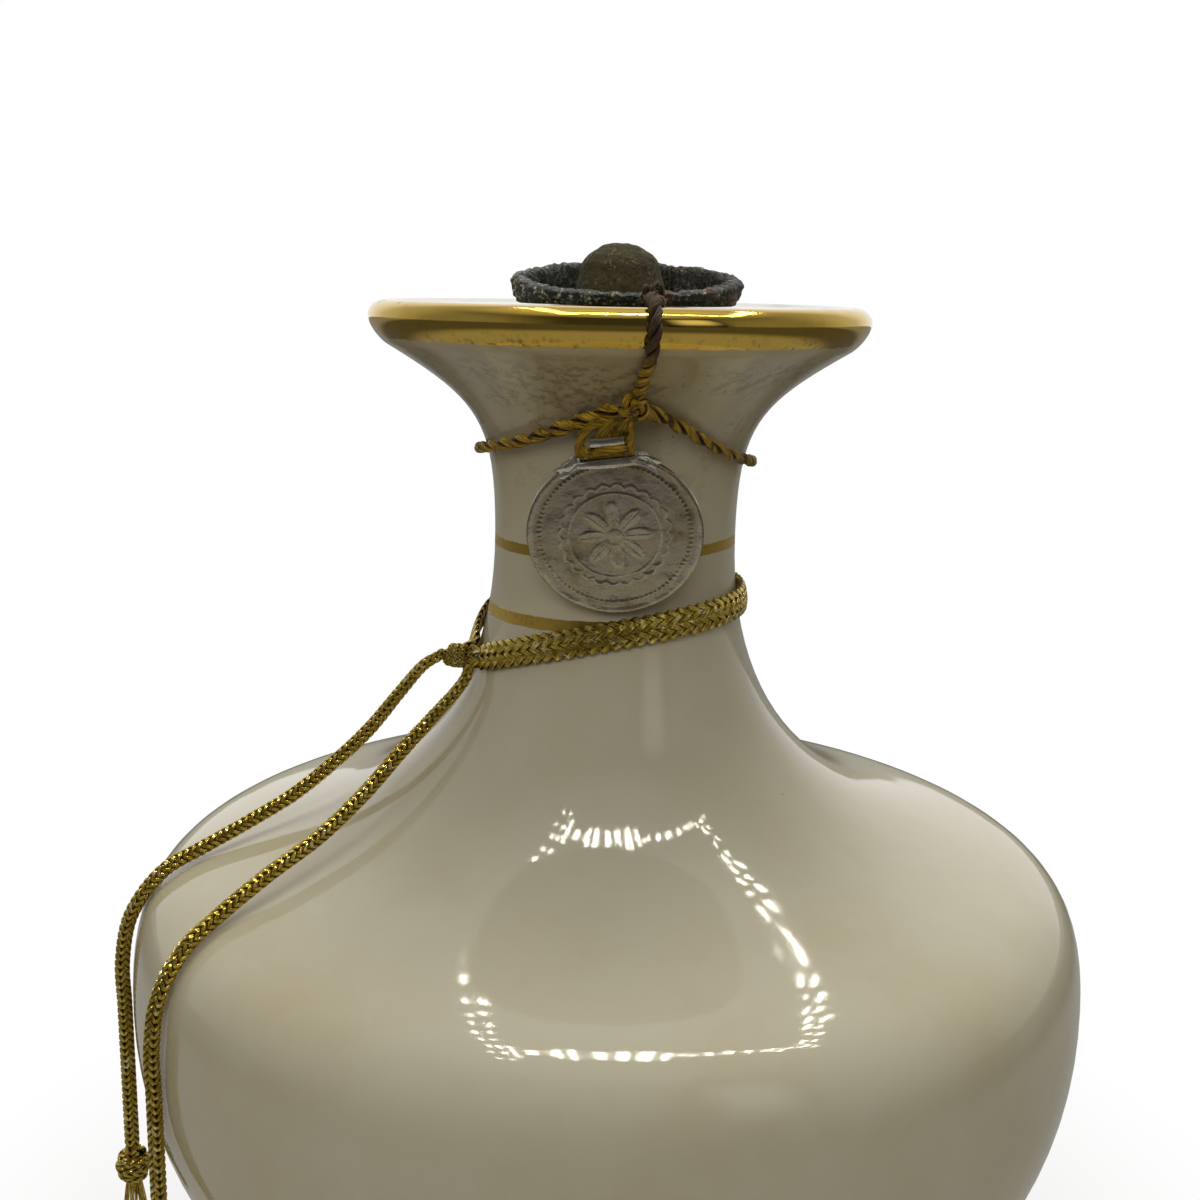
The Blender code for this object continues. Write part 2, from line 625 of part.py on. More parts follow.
def make_hanger(parts, axis, frame, metal):
    """The bar, the strand across below it and the strands from the hinge to the seal's top."""
    twine = bpy.data.materials["twine"]
    strand = HANGER_DIAMETER / 2
    cross_height = SEAL_FLAT + CLEARANCE + strand
    bar_height = cross_height + strand + CLEARANCE + BAR_RADIUS
    foot_left, foot_right = (share * SEAL_RADIUS for share in STRAND_FOOT_SHARES)
    top_left, top_right = (share * BAR_LENGTH for share in STRAND_TOP_SHARES)
    middle = (foot_left + foot_right) / 2
    hinge = axis.location
    bar_profile = [
        (BAR_BORE, BAR_LENGTH / 2),
        (BAR_RADIUS, BAR_LENGTH / 2),
        (BAR_RADIUS, -BAR_LENGTH / 2),
        (BAR_BORE, -BAR_LENGTH / 2),
        (BAR_BORE, BAR_LENGTH / 2),
    ]
    bar = turned("seal_bar", bar_profile, metal, parts, 20, axis)
    bar.matrix_parent_inverse = Matrix.Translation(hinge).inverted()
    bar.matrix_basis = frame @ Matrix.Translation((middle, 0, bar_height)) @ Matrix.Rotation(math.radians(90), 4, "Y")
    for name, foot, top in (("twine_hanger_left", foot_left, top_left), ("twine_hanger_right", foot_right, top_right)):
        start = Vector((top, 0, 0)) + hinge
        end = frame @ Vector((foot, 0, SEAL_FLAT + CLEARANCE))
        side = frame @ Vector((foot, 0, bar_height))
        outwards = STRAND_BOW if foot > 0 else -STRAND_BOW
        bow = (start + side) / 2 + Vector((outwards, 0, STRAND_BOW))
        path = smooth_path([start, bow, side, end], HANGER_DIAMETER)
        tube(name, [place - hinge for place in path], HANGER_DIAMETER, twine, parts, axis, rounded=True)
    inset = strand * 2 + CLEARANCE
    left = frame @ Vector((foot_left + inset, 0, cross_height))
    right = frame @ Vector((foot_right - inset, 0, cross_height))
    tube("twine_hanger_cross", [left - hinge, right - hinge], HANGER_DIAMETER, twine, parts, axis)


def braid_section(cutters):
    """The flat braid's section, an oval on its side, as a guide curve."""
    guide = bpy.data.curves.new("braid_section", "CURVE")
    guide.dimensions = "2D"
    spline = guide.splines.new("POLY")
    sides = 12
    spline.points.add(sides - 1)
    for i in range(sides):
        angle = -math.tau * i / sides
        spline.points[i].co = (BRAID_THICKNESS / 2 * math.cos(angle), BRAID_WIDTH / 2 * math.sin(angle), 0, 1)
    spline.use_cyclic_u = True
    obj = add_object("braid_section", guide, None, cutters)
    obj.hide_render = True
    obj.display_type = "WIRE"
    return obj


def make_braid(parts, cutters):
    """The braid round the neck and the knot that both of its ends go into."""
    gilt = make_material("gold_braid", (0.45, 0.36, 0.14), 0.4, 0.8)
    stand_off = CLEARANCE + BRAID_THICKNESS / 2
    stations = [(math.radians(a), d) for a, d in zip(BRAID_AZIMUTHS, BRAID_DROPS)]
    seated = round_neck(stations, stand_off, BRAID_WIDTH)
    path = [place for place, _lean in seated]
    leans = [lean for _place, lean in seated]
    print_least_gap("cord_neck_wrap", path, BRAID_WIDTH)
    section = braid_section(cutters)
    tube("cord_neck_wrap", path, None, gilt, parts, section=section, leans=leans)
    turn = (0, 0, CORD_KNOT_YAW)
    lump("cord_knot", CORD_KNOT_CENTRE, CORD_KNOT_HALF, turn, gilt, parts, ridges=2)


def make_tails(parts):
    """The two tails, and the knot and tuft at the end of each."""
    gilt = bpy.data.materials["gold_braid"]
    knot_profile = [
        (TUFT_TOP_RADIUS, 0),
        (END_KNOT_RADIUS * 0.8, -END_KNOT_LENGTH * 0.2),
        (END_KNOT_RADIUS, -END_KNOT_LENGTH * 0.45),
        (END_KNOT_RADIUS * 0.85, -END_KNOT_LENGTH * 0.75),
        (TUFT_TOP_RADIUS, -END_KNOT_LENGTH),
        ((TUFT_TOP_RADIUS + TUFT_FOOT_RADIUS) / 2, -END_KNOT_LENGTH - TUFT_LENGTH * 0.4),
        (TUFT_FOOT_RADIUS, -END_KNOT_LENGTH - TUFT_LENGTH),
        (0, -END_KNOT_LENGTH - TUFT_LENGTH),
    ]
    knot_profile = [(0, 0)] + knot_profile
    for number, route in ((1, TAIL_1_ROUTE), (2, TAIL_2_ROUTE)):
        path = smooth_path(route, 2 * CORD_DIAMETER)
        tube(f"cord_tail_{number}", path, CORD_DIAMETER, gilt, parts)
        knot = turned(f"cord_end_knot_{number}", knot_profile, gilt, parts, 20)
        end = path[-1]
        knot.location = (end.x, end.y, end.z - CLEARANCE)


def main():
    clear_scene()
    parts = make_collection(COLLECTION_NAME)
    cutters = make_collection(CUTTER_COLLECTION_NAME)
    make_body(parts)
    make_stopper(parts)
    make_cup(parts)
    make_twine(parts)
    make_seal(parts, cutters)
    make_braid(parts, cutters)
    make_tails(parts)


main()
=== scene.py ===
"""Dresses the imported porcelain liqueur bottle.

The glaze and gilding, the cork and its knob, the tarnished foil cup, the tied twine, the stamped
seal and the gold braid are modelled here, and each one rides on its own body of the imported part.
Lengths are metres and +Z is up. A drop is measured downwards from the rim, and an azimuth turns
from -Y, where the seal hangs, towards +X.
"""

import json
import math
import random
from contextlib import contextmanager

import bpy
import numpy as np
from mathutils import Matrix, Vector, noise


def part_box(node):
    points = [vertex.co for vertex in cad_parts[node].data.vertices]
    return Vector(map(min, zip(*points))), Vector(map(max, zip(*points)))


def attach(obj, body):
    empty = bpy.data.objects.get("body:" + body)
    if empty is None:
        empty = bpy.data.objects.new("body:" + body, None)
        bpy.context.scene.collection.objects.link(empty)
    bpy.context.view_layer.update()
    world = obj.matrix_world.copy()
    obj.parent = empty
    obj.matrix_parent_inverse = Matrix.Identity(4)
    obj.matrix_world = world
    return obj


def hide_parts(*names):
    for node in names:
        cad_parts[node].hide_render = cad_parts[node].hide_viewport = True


bl_info = {
    "name": "Porcelain liqueur bottle",
    "version": (1, 0, 0),
    "blender": (4, 5, 0),
    "location": "3D View > Sidebar > Bottle",
    "description": "Models a porcelain bottle's glaze, stopper, foil cup, twine, seal and braid",
    "category": "Object",
}

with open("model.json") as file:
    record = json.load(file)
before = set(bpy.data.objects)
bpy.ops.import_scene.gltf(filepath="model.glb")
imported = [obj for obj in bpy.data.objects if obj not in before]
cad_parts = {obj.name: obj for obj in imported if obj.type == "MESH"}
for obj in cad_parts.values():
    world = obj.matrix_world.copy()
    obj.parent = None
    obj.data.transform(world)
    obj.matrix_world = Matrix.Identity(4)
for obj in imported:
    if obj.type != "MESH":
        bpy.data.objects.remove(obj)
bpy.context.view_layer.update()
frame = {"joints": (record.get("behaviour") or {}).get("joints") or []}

# The body's outline: the place of each station, and its lean from straight down in degrees
HEIGHT = float(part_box("bottle_body")[1][2])
OUTLINE_STATIONS = (
    (0.0372, 0.0, 90),
    (0.0400, 0.0024, 0),
    (0.0370, 0.00685, -59),
    (0.0198, 0.0373, 0),
    (0.0499, 0.0837, 70.4),
    (0.0795, 0.1120, 0),
    (0.0475, 0.1675, -51),
)
HANDLE_SHARES = ((0.42, 0.36), (0.30, 0.24), (0.48, 0.523), (0.395, 0.415), (0.564, 0.569), (0.41, 0.32))
UNDERLIP_DROP = OUTLINE_STATIONS[2][1]
WAIST_RADIUS = OUTLINE_STATIONS[3][0]
STRETCH_STEPS = 14
WALL = 0.0045
FLOOR_HEIGHT = 0.0085
FOOT_RADIUS = 0.0460
FOOT_WIDTH = 0.0060
FOOT_RECESS = 0.0025
TOP_RECESS = 0.0005
RECESS_RADIUS = 0.0330
MOUTH_RADIUS = 0.0110
SEAT_DROP = 0.0200
THROAT_DROP = 0.0290
CLEARANCE = 0.0003

# The gilding, as drops from the rim
GILT_LIP_DROP = 0.0056
GILT_LINES = ((0.0376, 0.00085), (0.0487, 0.00095))
GILT_LINE_SLOPE = 0.02
GILT_START_RADII = (0.03715, 0.03725)
WORN_GILT = (0.16, 0.09, 0.03)

# Chips at the lip's top: azimuth in degrees, radius, drop and size in metres
LIP_CHIPS = ((-71, 0.0384, 0.0003, 0.0009), (-57.5, 0.0384, 0.0003, 0.0004))
CHIP_COLOUR = (0.020, 0.018, 0.013)

# The twine's stations on the neck, in degrees and metres of drop
FRONT_KNOT_AZIMUTH = 4.2
FRONT_KNOT_DROP = 0.0128
FRONT_KNOT_HALF_HEIGHT = 0.0021
RISER_RIM_AZIMUTH = 6.8
LOOP_STATIONS = (
    (6.5, 0.0131),
    (22, 0.0166),
    (35, 0.0195),
    (55, 0.0224),
    (80, 0.0242),
    (110, 0.0250),
    (145, 0.0253),
    (180, 0.0252),
    (215, 0.0248),
    (250, 0.0240),
    (280, 0.0228),
    (303, 0.0214),
    (322, 0.0198),
    (337, 0.0176),
    (361, 0.0131),
)

# The braid's stations on the neck
BRAID_STATIONS = (
    (-64, 0.0567),
    (-52, 0.0552),
    (-25, 0.0521),
    (4, 0.0495),
    (39, 0.0477),
    (80, 0.0471),
    (125, 0.0468),
    (170, 0.0473),
    (215, 0.0492),
    (250, 0.0522),
    (270, 0.0545),
    (280, 0.0557),
    (285, 0.0563),
)

# The tails' routes, from the knot to the end
TAIL_ROUTES = {
    "cord_tail_1": (
        (-0.0286, -0.0088, 0.1151),
        (-0.0311, -0.0083, 0.1133),
        (-0.0350, -0.0077, 0.1085),
        (-0.0400, -0.0073, 0.1022),
        (-0.0455, -0.0078, 0.0968),
        (-0.0522, -0.0100, 0.0915),
        (-0.0590, -0.0130, 0.0877),
        (-0.0656, -0.0160, 0.0844),
        (-0.0719, -0.0186, 0.0809),
        (-0.0766, -0.0204, 0.0743),
        (-0.0782, -0.0211, 0.0665),
        (-0.0782, -0.0211, 0.0590),
        (-0.0782, -0.0211, 0.0500),
        (-0.0782, -0.0211, 0.0400),
        (-0.0782, -0.0211, 0.0330),
    ),
    "cord_tail_2": (
        (-0.0233, -0.0116, 0.1131),
        (-0.0247, -0.0134, 0.1110),
        (-0.0285, -0.0150, 0.1068),
        (-0.0335, -0.0178, 0.1015),
        (-0.0385, -0.0226, 0.0962),
        (-0.0443, -0.0289, 0.0915),
        (-0.0505, -0.0352, 0.0880),
        (-0.0563, -0.0405, 0.0840),
        (-0.0609, -0.0444, 0.0800),
        (-0.0640, -0.0471, 0.0739),
        (-0.0651, -0.0481, 0.0664),
        (-0.0651, -0.0481, 0.0590),
        (-0.0651, -0.0481, 0.0500),
        (-0.0651, -0.0481, 0.0400),
        (-0.0651, -0.0481, 0.0290),
        (-0.0651, -0.0481, 0.0230),
    ),
}

# The braid's knot lies along the line of its two ends
KNOT_YAW = math.radians(161)
TAIL_LEADS = {"cord_tail_1": (-0.0272, -0.0090, 0.1160), "cord_tail_2": (-0.0233, -0.0098, 0.1150)}

# How a braid's strands lie, as shares of its half-thickness and of the room between strands
OVER_SHARE = 0.20
STRAND_THICKNESS_SHARE = 0.22
STRAND_WIDTH_SHARE = 0.61
FLOAT_STEEPNESS = 2.6
TILE_ROUNDNESS = 0.6
TAIL_PITCH_SHARE = 0.64

# The seal's own frame
SEAL_CENTRE = (0.0, -(WAIST_RADIUS + 0.0057), HEIGHT - 0.0331)
SEAL_LEAN = 17
SEAL_ROLL = -6.5
SEAL_FLAT = 0.0120
BAR_LENGTH = 0.0044
BAR_RADIUS = 0.00075
STRAND_TOP_SHARES = (-0.10, 0.36)
STRAND_FOOT_SHARES = (-0.290, 0.270)
STRAND_BOW = 0.0010
LUG_SIZE = (0.0040, 0.0017, 0.0012)
FOLD_SIZE = (0.0098, 0.0013, 0.0013)

# The seal's stamped relief, from its rim inwards
RIM_INSET = 0.0009
RIM_RUN = 0.0003
RIM_HEIGHT = 0.00024
BEAD_RING = 0.0112
BEAD_RADIUS = 0.00032
BEAD_HEIGHT = 0.00034
LINE_HEIGHT = 0.00018
SCALLOP_RADIUS = 0.0078
SCALLOP_REACH = 0.00055
SCALLOP_HALF_WIDTH = 0.0003
RING_RADIUS = 0.0069
RING_HALF_WIDTH = 0.00025
PETAL_START = 0.0020
PETAL_REACH = 0.0038
PETAL_SLOPE = 0.0007
PETAL_HEIGHT = 0.00022
VEIN_DEPTH = 0.00008
BOSS_RADIUS = 0.0012
BOSS_HEIGHT = 0.00030

# The foil cup's and the cords' own numbers
CUP_CORNERS = 8
FOIL_SHADE = (0.010, 0.012, 0.009)
FOIL_FLECKS = ((0.36, 0.28, 0.13), (0.50, 0.52, 0.45))
RAW_FOIL = (0.74, 0.60, 0.30)
BRIGHT_METAL = (0.78, 0.76, 0.72)
AGED_TWINE = (0.062, 0.040, 0.014)
# The colour of the braid's painted glints
THREAD_GLINT = (1.00, 0.88, 0.50)
KNOT_COIL_TURNS = 3.1
TASSEL_COIL_TURNS = 3.2
COIL_SPACING = 0.00016
TUFT_THREADS = 70
MERGE_DISTANCE = 0.000004

# The ceiling lamps: rows of (start, end, count, length of a lamp), and their height
LAMP_RAILS = (
    ((-0.41, -0.40), (-0.37, 0.98), 10, 0.05),
    ((0.80, 0.05), (0.57, 1.10), 8, 0.09),
    ((-0.30, -0.18), (0.20, -0.16), 7, 0.22),
    ((0.24, -0.14), (0.86, -0.08), 8, 0.06),
)
LAMP_HEIGHT = 1.6
LAMP_HALF_WIDTH = 0.006
LAMP_PAIR_HALF_GAP = 0.03
LAMP_STRENGTH = 60.0

# The area lamps: name, place, width, height and power
LAMPS = (
    ("overhead", (0.10, 0.35, 1.60), 0.9, 1.1, 12.0),
    ("front_fill", (-0.15, -1.10, 0.75), 0.8, 0.5, 4.6),
)
LAMP_AIM = (0, 0, 0.11)

# The window that shiny faces mirror, and the floor
WINDOW_PLACE = (0.67, -1.0, 0.80)
WINDOW_SIZE = (0.60, 1.50, 1)
WINDOW_TURN = 34
FLOOR_SIZE = 6
FLOOR_SHADOW_REACH = 0.14
PAPER_LIGHT = (1.0, 0.97, 0.90)

# The photograph's viewpoint
CAMERA_PLACE = (0.0, -0.2414, 0.1752)
CAMERA_YAW = -0.54
CAMERA_PITCH = 12.14
CAMERA_ROLL = 1.1
CAMERA_LENS_MM = 44.3
SENSOR_MM = 36.0


def count_property(name, description, default, least):
    return bpy.props.IntProperty(name=name, description=description, default=default, min=least)


def length_property(name, description, default):
    return bpy.props.FloatProperty(name=name, description=description, default=default, unit="LENGTH")


class BottleSizes(bpy.types.PropertyGroup):
    """Sizes and counts that set how fine and how coarse the details are."""

    turned_sides: count_property("Turned sides", "Steps round the porcelain body", 180, 24)
    pleats: count_property("Foil pleats", "Pleats round the foil cup", 44, 8)
    beads: count_property("Seal beads", "Beads in the seal's border", 92, 8)
    braid_pitch: length_property("Braid pitch", "Length of one turn of a braid strand", 0.0148)
    braid_width: length_property("Braid width", "Width of the braid where it lies flat", 0.0046)
    braid_thickness: length_property("Braid thickness", "Thickness of the flat braid", 0.0015)
    cord_diameter: length_property("Cord diameter", "Diameter of the braid's round tails", 0.0026)
    twine_diameter: length_property("Twine diameter", "Diameter of the laid twine", 0.0018)
    hanger_diameter: length_property("Hanger diameter", "Diameter of the seal's strands", 0.0013)
    twine_pitch: length_property("Twine pitch", "Length of one turn of a twine strand", 0.0088)


def colour_property(name, description, default):
    return bpy.props.FloatVectorProperty(
        name=name, description=description, default=default, size=3, subtype="COLOR", min=0, max=1
    )


class BottleColours(bpy.types.PropertyGroup):
    """The colours of the finishes, in linear light."""

    glaze: colour_property("Glaze", "Ivory glaze", (0.585, 0.550, 0.415))
    # The stain colour paints the real stains under the rim and also the painted shade there
    stain: colour_property("Stain", "Brown stain under the rim", (0.23, 0.15, 0.075))
    gilt: colour_property("Gilt", "Burnished gilding", (0.67, 0.46, 0.095))
    foil: colour_property("Foil", "Tarnished foil", (0.016, 0.019, 0.014))
    verdigris: colour_property("Verdigris", "Blue-green tarnish", (0.052, 0.088, 0.072))
    rust: colour_property("Rust", "Red-brown tarnish", (0.085, 0.035, 0.018))
    cork: colour_property("Cork", "Cork plug", (0.33, 0.22, 0.12))
    knob: colour_property("Knob", "Dark brown knob", (0.068, 0.055, 0.018))
    twine: colour_property("Twine", "Amber twine", (0.42, 0.255, 0.017))
    # The dark twine colour is the maroon of the painted shade between the twine's strands, and of its dirt
    twine_dark: colour_property("Dark twine", "Maroon thread in the twine", (0.046, 0.017, 0.007))
    tin: colour_property("Seal metal", "Dull stamped metal", (0.58, 0.53, 0.43))
    thread: colour_property("Gold thread", "Metallic thread of the braid", (0.66, 0.50, 0.095))


def deselect():
    """Leaves object mode's selection empty, so that an operator acts on one piece alone."""
    if bpy.context.mode != "OBJECT":
        bpy.ops.object.mode_set(mode="OBJECT")
    bpy.ops.object.select_all(action="DESELECT")


def pick(obj):
    """Makes one object the only selected and the active one."""
    deselect()
    obj.select_set(True)
    bpy.context.view_layer.objects.active = obj


@contextmanager
def editing(obj):
    """Edit mode with the whole of one object's mesh selected."""
    pick(obj)
    bpy.ops.object.mode_set(mode="EDIT")
    bpy.ops.mesh.select_all(action="SELECT")
    yield
    bpy.ops.object.mode_set(mode="OBJECT")


def apply_modifiers(obj):
    pick(obj)
    for modifier in list(obj.modifiers):
        bpy.ops.object.modifier_apply(modifier=modifier.name)


def point_outwards(obj):
    """Merges doubles and turns every face outwards."""
    with editing(obj):
        bpy.ops.mesh.remove_doubles(threshold=MERGE_DISTANCE)
        bpy.ops.mesh.normals_make_consistent(inside=False)


def seat(obj, name, body, material, replaced=(), angle=40):
    """Names a finished piece, bakes its place into its mesh, and hangs it on its body."""
    obj.name = name
    obj.data.name = name
    obj.data.materials.clear()
    obj.data.materials.append(material)
    pick(obj)
    bpy.ops.object.transform_apply(location=True, rotation=True, scale=True)
    bpy.ops.object.shade_smooth_by_angle(angle=math.radians(angle))
    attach(obj, body)
    if replaced:
        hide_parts(*replaced)
    return obj


def unit(vectors):
    return vectors / np.linalg.norm(vectors, axis=-1, keepdims=True)


def run_along(points):
    """Each point's distance along the line through all of them."""
    return np.concatenate(([0], np.cumsum(np.linalg.norm(np.diff(points, axis=0), axis=1))))


def resampled(at, along, vectors):
    """The vectors in between, at these distances along their line."""
    return np.stack([np.interp(at, along, vectors[:, k]) for k in range(3)], axis=1)


def wander(place, scale, size):
    """Smooth noise at a place, of about this size."""
    return noise.noise(place * scale) * size


def upright(point):
    """A point of (radius, drop) as (radius, height)."""
    return point[0], HEIGHT - point[1]


def lathe(stations, steps, resolution=STRETCH_STEPS, closed=False):
    """Turns a drawn profile of (radius, height, handle before, handle after) stations about Z."""
    deselect()
    bpy.ops.curve.primitive_bezier_curve_add()
    obj = bpy.context.object
    spline = obj.data.splines[0]
    spline.bezier_points.add(len(stations) - 2)
    spline.use_cyclic_u = closed
    obj.data.resolution_u = resolution
    for point, (radius, height, before, after) in zip(spline.bezier_points, stations):
        point.co = (radius, 0, height)
        point.handle_left_type = "FREE" if before else "VECTOR"
        point.handle_right_type = "FREE" if after else "VECTOR"
        if before:
            point.handle_left = (before[0], 0, before[1])
        if after:
            point.handle_right = (after[0], 0, after[1])
    bpy.ops.object.convert(target="MESH")
    obj = bpy.context.object
    screw = obj.modifiers.new("turn", "SCREW")
    screw.steps = steps
    screw.render_steps = steps
    screw.use_merge_vertices = True
    screw.merge_threshold = 0.000001
    apply_modifiers(obj)
    point_outwards(obj)
    return obj


def corners(points):
    """Stations of a profile with a corner at every point."""
    return [(radius, height, None, None) for radius, height in points]


def rounded(points):
    """Stations of a smooth profile through the points."""
    stations = []
    for i, (radius, height) in enumerate(points):
        before = points[max(i - 1, 0)]
        after = points[min(i + 1, len(points) - 1)]
        run = ((after[0] - before[0]) / 6, (after[1] - before[1]) / 6)
        before = (radius - run[0], height - run[1])
        after = (radius + run[0], height + run[1])
        stations.append((radius, height, before, after))
    return stations


def outline_handles():
    """For each stretch of the outline, its two ends and two handles in (radius, drop)."""
    stretches = []
    for start, end, shares in zip(OUTLINE_STATIONS, OUTLINE_STATIONS[1:], HANDLE_SHARES):
        span = math.dist(start[:2], end[:2])
        lean_out = math.radians(start[2])
        lean_in = math.radians(end[2])
        reach_out = span * shares[0]
        reach_in = span * shares[1]
        first = (start[0] + reach_out * math.sin(lean_out), start[1] + reach_out * math.cos(lean_out))
        second = (end[0] - reach_in * math.sin(lean_in), end[1] - reach_in * math.cos(lean_in))
        stretches.append((start[:2], first, second, end[:2]))
    return stretches


def sampled_outline():
    """Points down the outline in (radius, drop), and the outward normal at each."""
    t = (np.arange(STRETCH_STEPS) / STRETCH_STEPS)[:, None]
    runs = []
    for stretch in outline_handles():
        p, q, r, s = (np.array(point) for point in stretch)
        runs.append((1 - t) ** 3 * p + 3 * (1 - t) ** 2 * t * q + 3 * (1 - t) * t**2 * r + t**3 * s)
    runs.append(np.array([OUTLINE_STATIONS[-1][:2]]))
    points = np.vstack(runs)
    along = np.gradient(points, axis=0)
    return points, unit(np.stack((along[:, 1], -along[:, 0]), axis=1))


OUTLINE, NORMALS = sampled_outline()


def on_surface(azimuth, drop, stand_off):
    """A point off the flare, neck or shoulder and the outward direction there. Azimuth is in radians."""
    below = OUTLINE[:, 1] >= UNDERLIP_DROP
    drops = OUTLINE[below, 1]
    radius = np.interp(drop, drops, OUTLINE[below, 0])
    out = np.interp(drop, drops, NORMALS[below, 0])
    down = np.interp(drop, drops, NORMALS[below, 1])
    reach = radius + stand_off * out
    place = (reach * math.sin(azimuth), -reach * math.cos(azimuth), HEIGHT - drop - stand_off * down)
    return np.array(place), np.array((out * math.sin(azimuth), -out * math.cos(azimuth), -down))


def smooth_path(route, spacing):
    """Points every so often along a smooth curve through the route's points."""
    points = [np.array(p, float) for p in route]
    count = len(points)
    curve = []
    for i in range(count - 1):
        before, start, end, after = (points[min(max(i + k, 0), count - 1)] for k in (-1, 0, 1, 2))
        steps = math.ceil(np.linalg.norm(end - start) / spacing)
        t = (np.arange(steps) / steps)[:, None]
        curve.append(
            start * (2 * t**3 - 3 * t**2 + 1)
            + (end - before) / 2 * (t**3 - 2 * t**2 + t)
            + end * (3 * t**2 - 2 * t**3)
            + (after - start) / 2 * (t**3 - t**2)
        )
    curve.append(points[-1][None])
    return np.vstack(curve)


def even_path(points, spacing):
    """The same line with evenly spaced points, and each point's distance along it."""
    lengths = run_along(points)
    count = max(2, round(lengths[-1] / spacing) + 1)
    along = np.linspace(0, lengths[-1], count)
    return resampled(along, lengths, points), along


def round_neck(stations, stand_off, spacing):
    """An even path round the neck through the stations, with its outward directions."""
    flat = [(math.radians(azimuth) * WAIST_RADIUS, drop, 0) for azimuth, drop in stations]
    even, _ = even_path(smooth_path(flat, spacing), spacing)
    seated = [on_surface(run / WAIST_RADIUS, drop, stand_off) for run, drop, _ in even]
    places = np.array([place for place, _ in seated])
    lengths = run_along(places)
    return places, lengths, np.array([out for _, out in seated])


def carried_normals(points, first):
    """Directions square to the path, carried along it without twist from the first one."""
    tangents = unit(np.gradient(points, axis=0))
    normal = np.array(first, float)
    normals = []
    for tangent in tangents:
        normal = normal - tangent * normal.dot(tangent)
        normal = normal / np.linalg.norm(normal)
        normals.append(normal)
    return np.array(normals)


def swept(name, strands, sides, roundness=1.0, loose=0):
    """One mesh of many strands, each given as centres and half-width and half-thickness vectors.

    Its UV map runs in millimetres along a strand and from 0 to 1 round it, plus the strand's number.
    The last strands, which are loose threads, have the map of a strand's top all round."""
    ring = np.arange(sides) * math.tau / sides
    cosine = np.sign(np.cos(ring)) * np.abs(np.cos(ring)) ** roundness
    sine = np.sign(np.sin(ring)) * np.abs(np.sin(ring)) ** roundness
    vertices = []
    faces = []
    maps = []
    offset = 0
    for number, (centres, wide, thick) in enumerate(strands):
        count = len(centres)
        grid = centres[:, None] + wide[:, None] * cosine[None, :, None] + thick[:, None] * sine[None, :, None]
        vertices.append(grid.reshape(-1, 3))
        along = run_along(centres) * 1000
        rows, columns = np.meshgrid(np.arange(count - 1), np.arange(sides), indexing="ij")
        i = rows.ravel()
        j = columns.ravel()
        k = (j + 1) % sides
        near = i * sides
        far = near + sides
        quads = np.stack((near + j, near + k, far + k, far + j), axis=1) + offset
        faces.extend(quads.tolist())
        start = along[i]
        end = along[i + 1]
        bound = number < len(strands) - loose
        low = number + (j / sides if bound else 0.25 + 0 * j)
        high = number + ((j + 1) / sides if bound else 0.25 + 0 * j)
        maps.append(np.stack((start, low, start, high, end, high, end, low), axis=1).reshape(-1))
        last = offset + (count - 1) * sides
        faces.append([offset + s for s in reversed(range(sides))])
        faces.append([last + s for s in range(sides)])
        maps.append(np.tile((along[0], number), sides))
        maps.append(np.tile((along[-1], number), sides))
        offset += count * sides
    mesh = bpy.data.meshes.new(name)
    mesh.from_pydata(np.vstack(vertices).tolist(), [], faces)
    layer = mesh.uv_layers.new(name="fibre")
    layer.data.foreach_set("uv", np.concatenate(maps).astype(np.float32))
    obj = bpy.data.objects.new(name, mesh)
    bpy.context.scene.collection.objects.link(obj)
    with editing(obj):
        bpy.ops.mesh.normals_make_consistent(inside=False)
    return obj


def seat_strands(name, strands, body, slot, material, replaced, sides=8, roundness=1.0, loose=0):
    """One piece made of many strands, hung on its body."""
    return seat(swept(name, strands, sides, roundness, loose), name, body, material, replaced)


def strand_of(centres, outwards, half_width, half_thickness):
    """A strand with pointed ends: its centres and two half-axis vectors, the second one facing outwards."""
    tangents = unit(np.gradient(centres, axis=0))
    wide = unit(np.cross(outwards, tangents))
    thick = np.cross(tangents, wide)
    run = run_along(centres)
    size = np.clip(np.minimum(run, run[-1] - run) / (2 * half_width), 0.02, 1) ** 0.5
    return centres, wide * (half_width * size)[:, None], thick * (half_thickness * size)[:, None]


def even_turn(half_width, half_thickness):
    """A function that turns a share of an oval's perimeter into its angle."""
    angles = np.linspace(0, math.tau, 721)
    steps = np.hypot(np.diff(half_width * np.cos(angles)), np.diff(half_thickness * np.sin(angles)))
    shares = np.concatenate(([0], np.cumsum(steps))) / steps.sum()
    return lambda share: np.interp(share % 1, shares, angles)


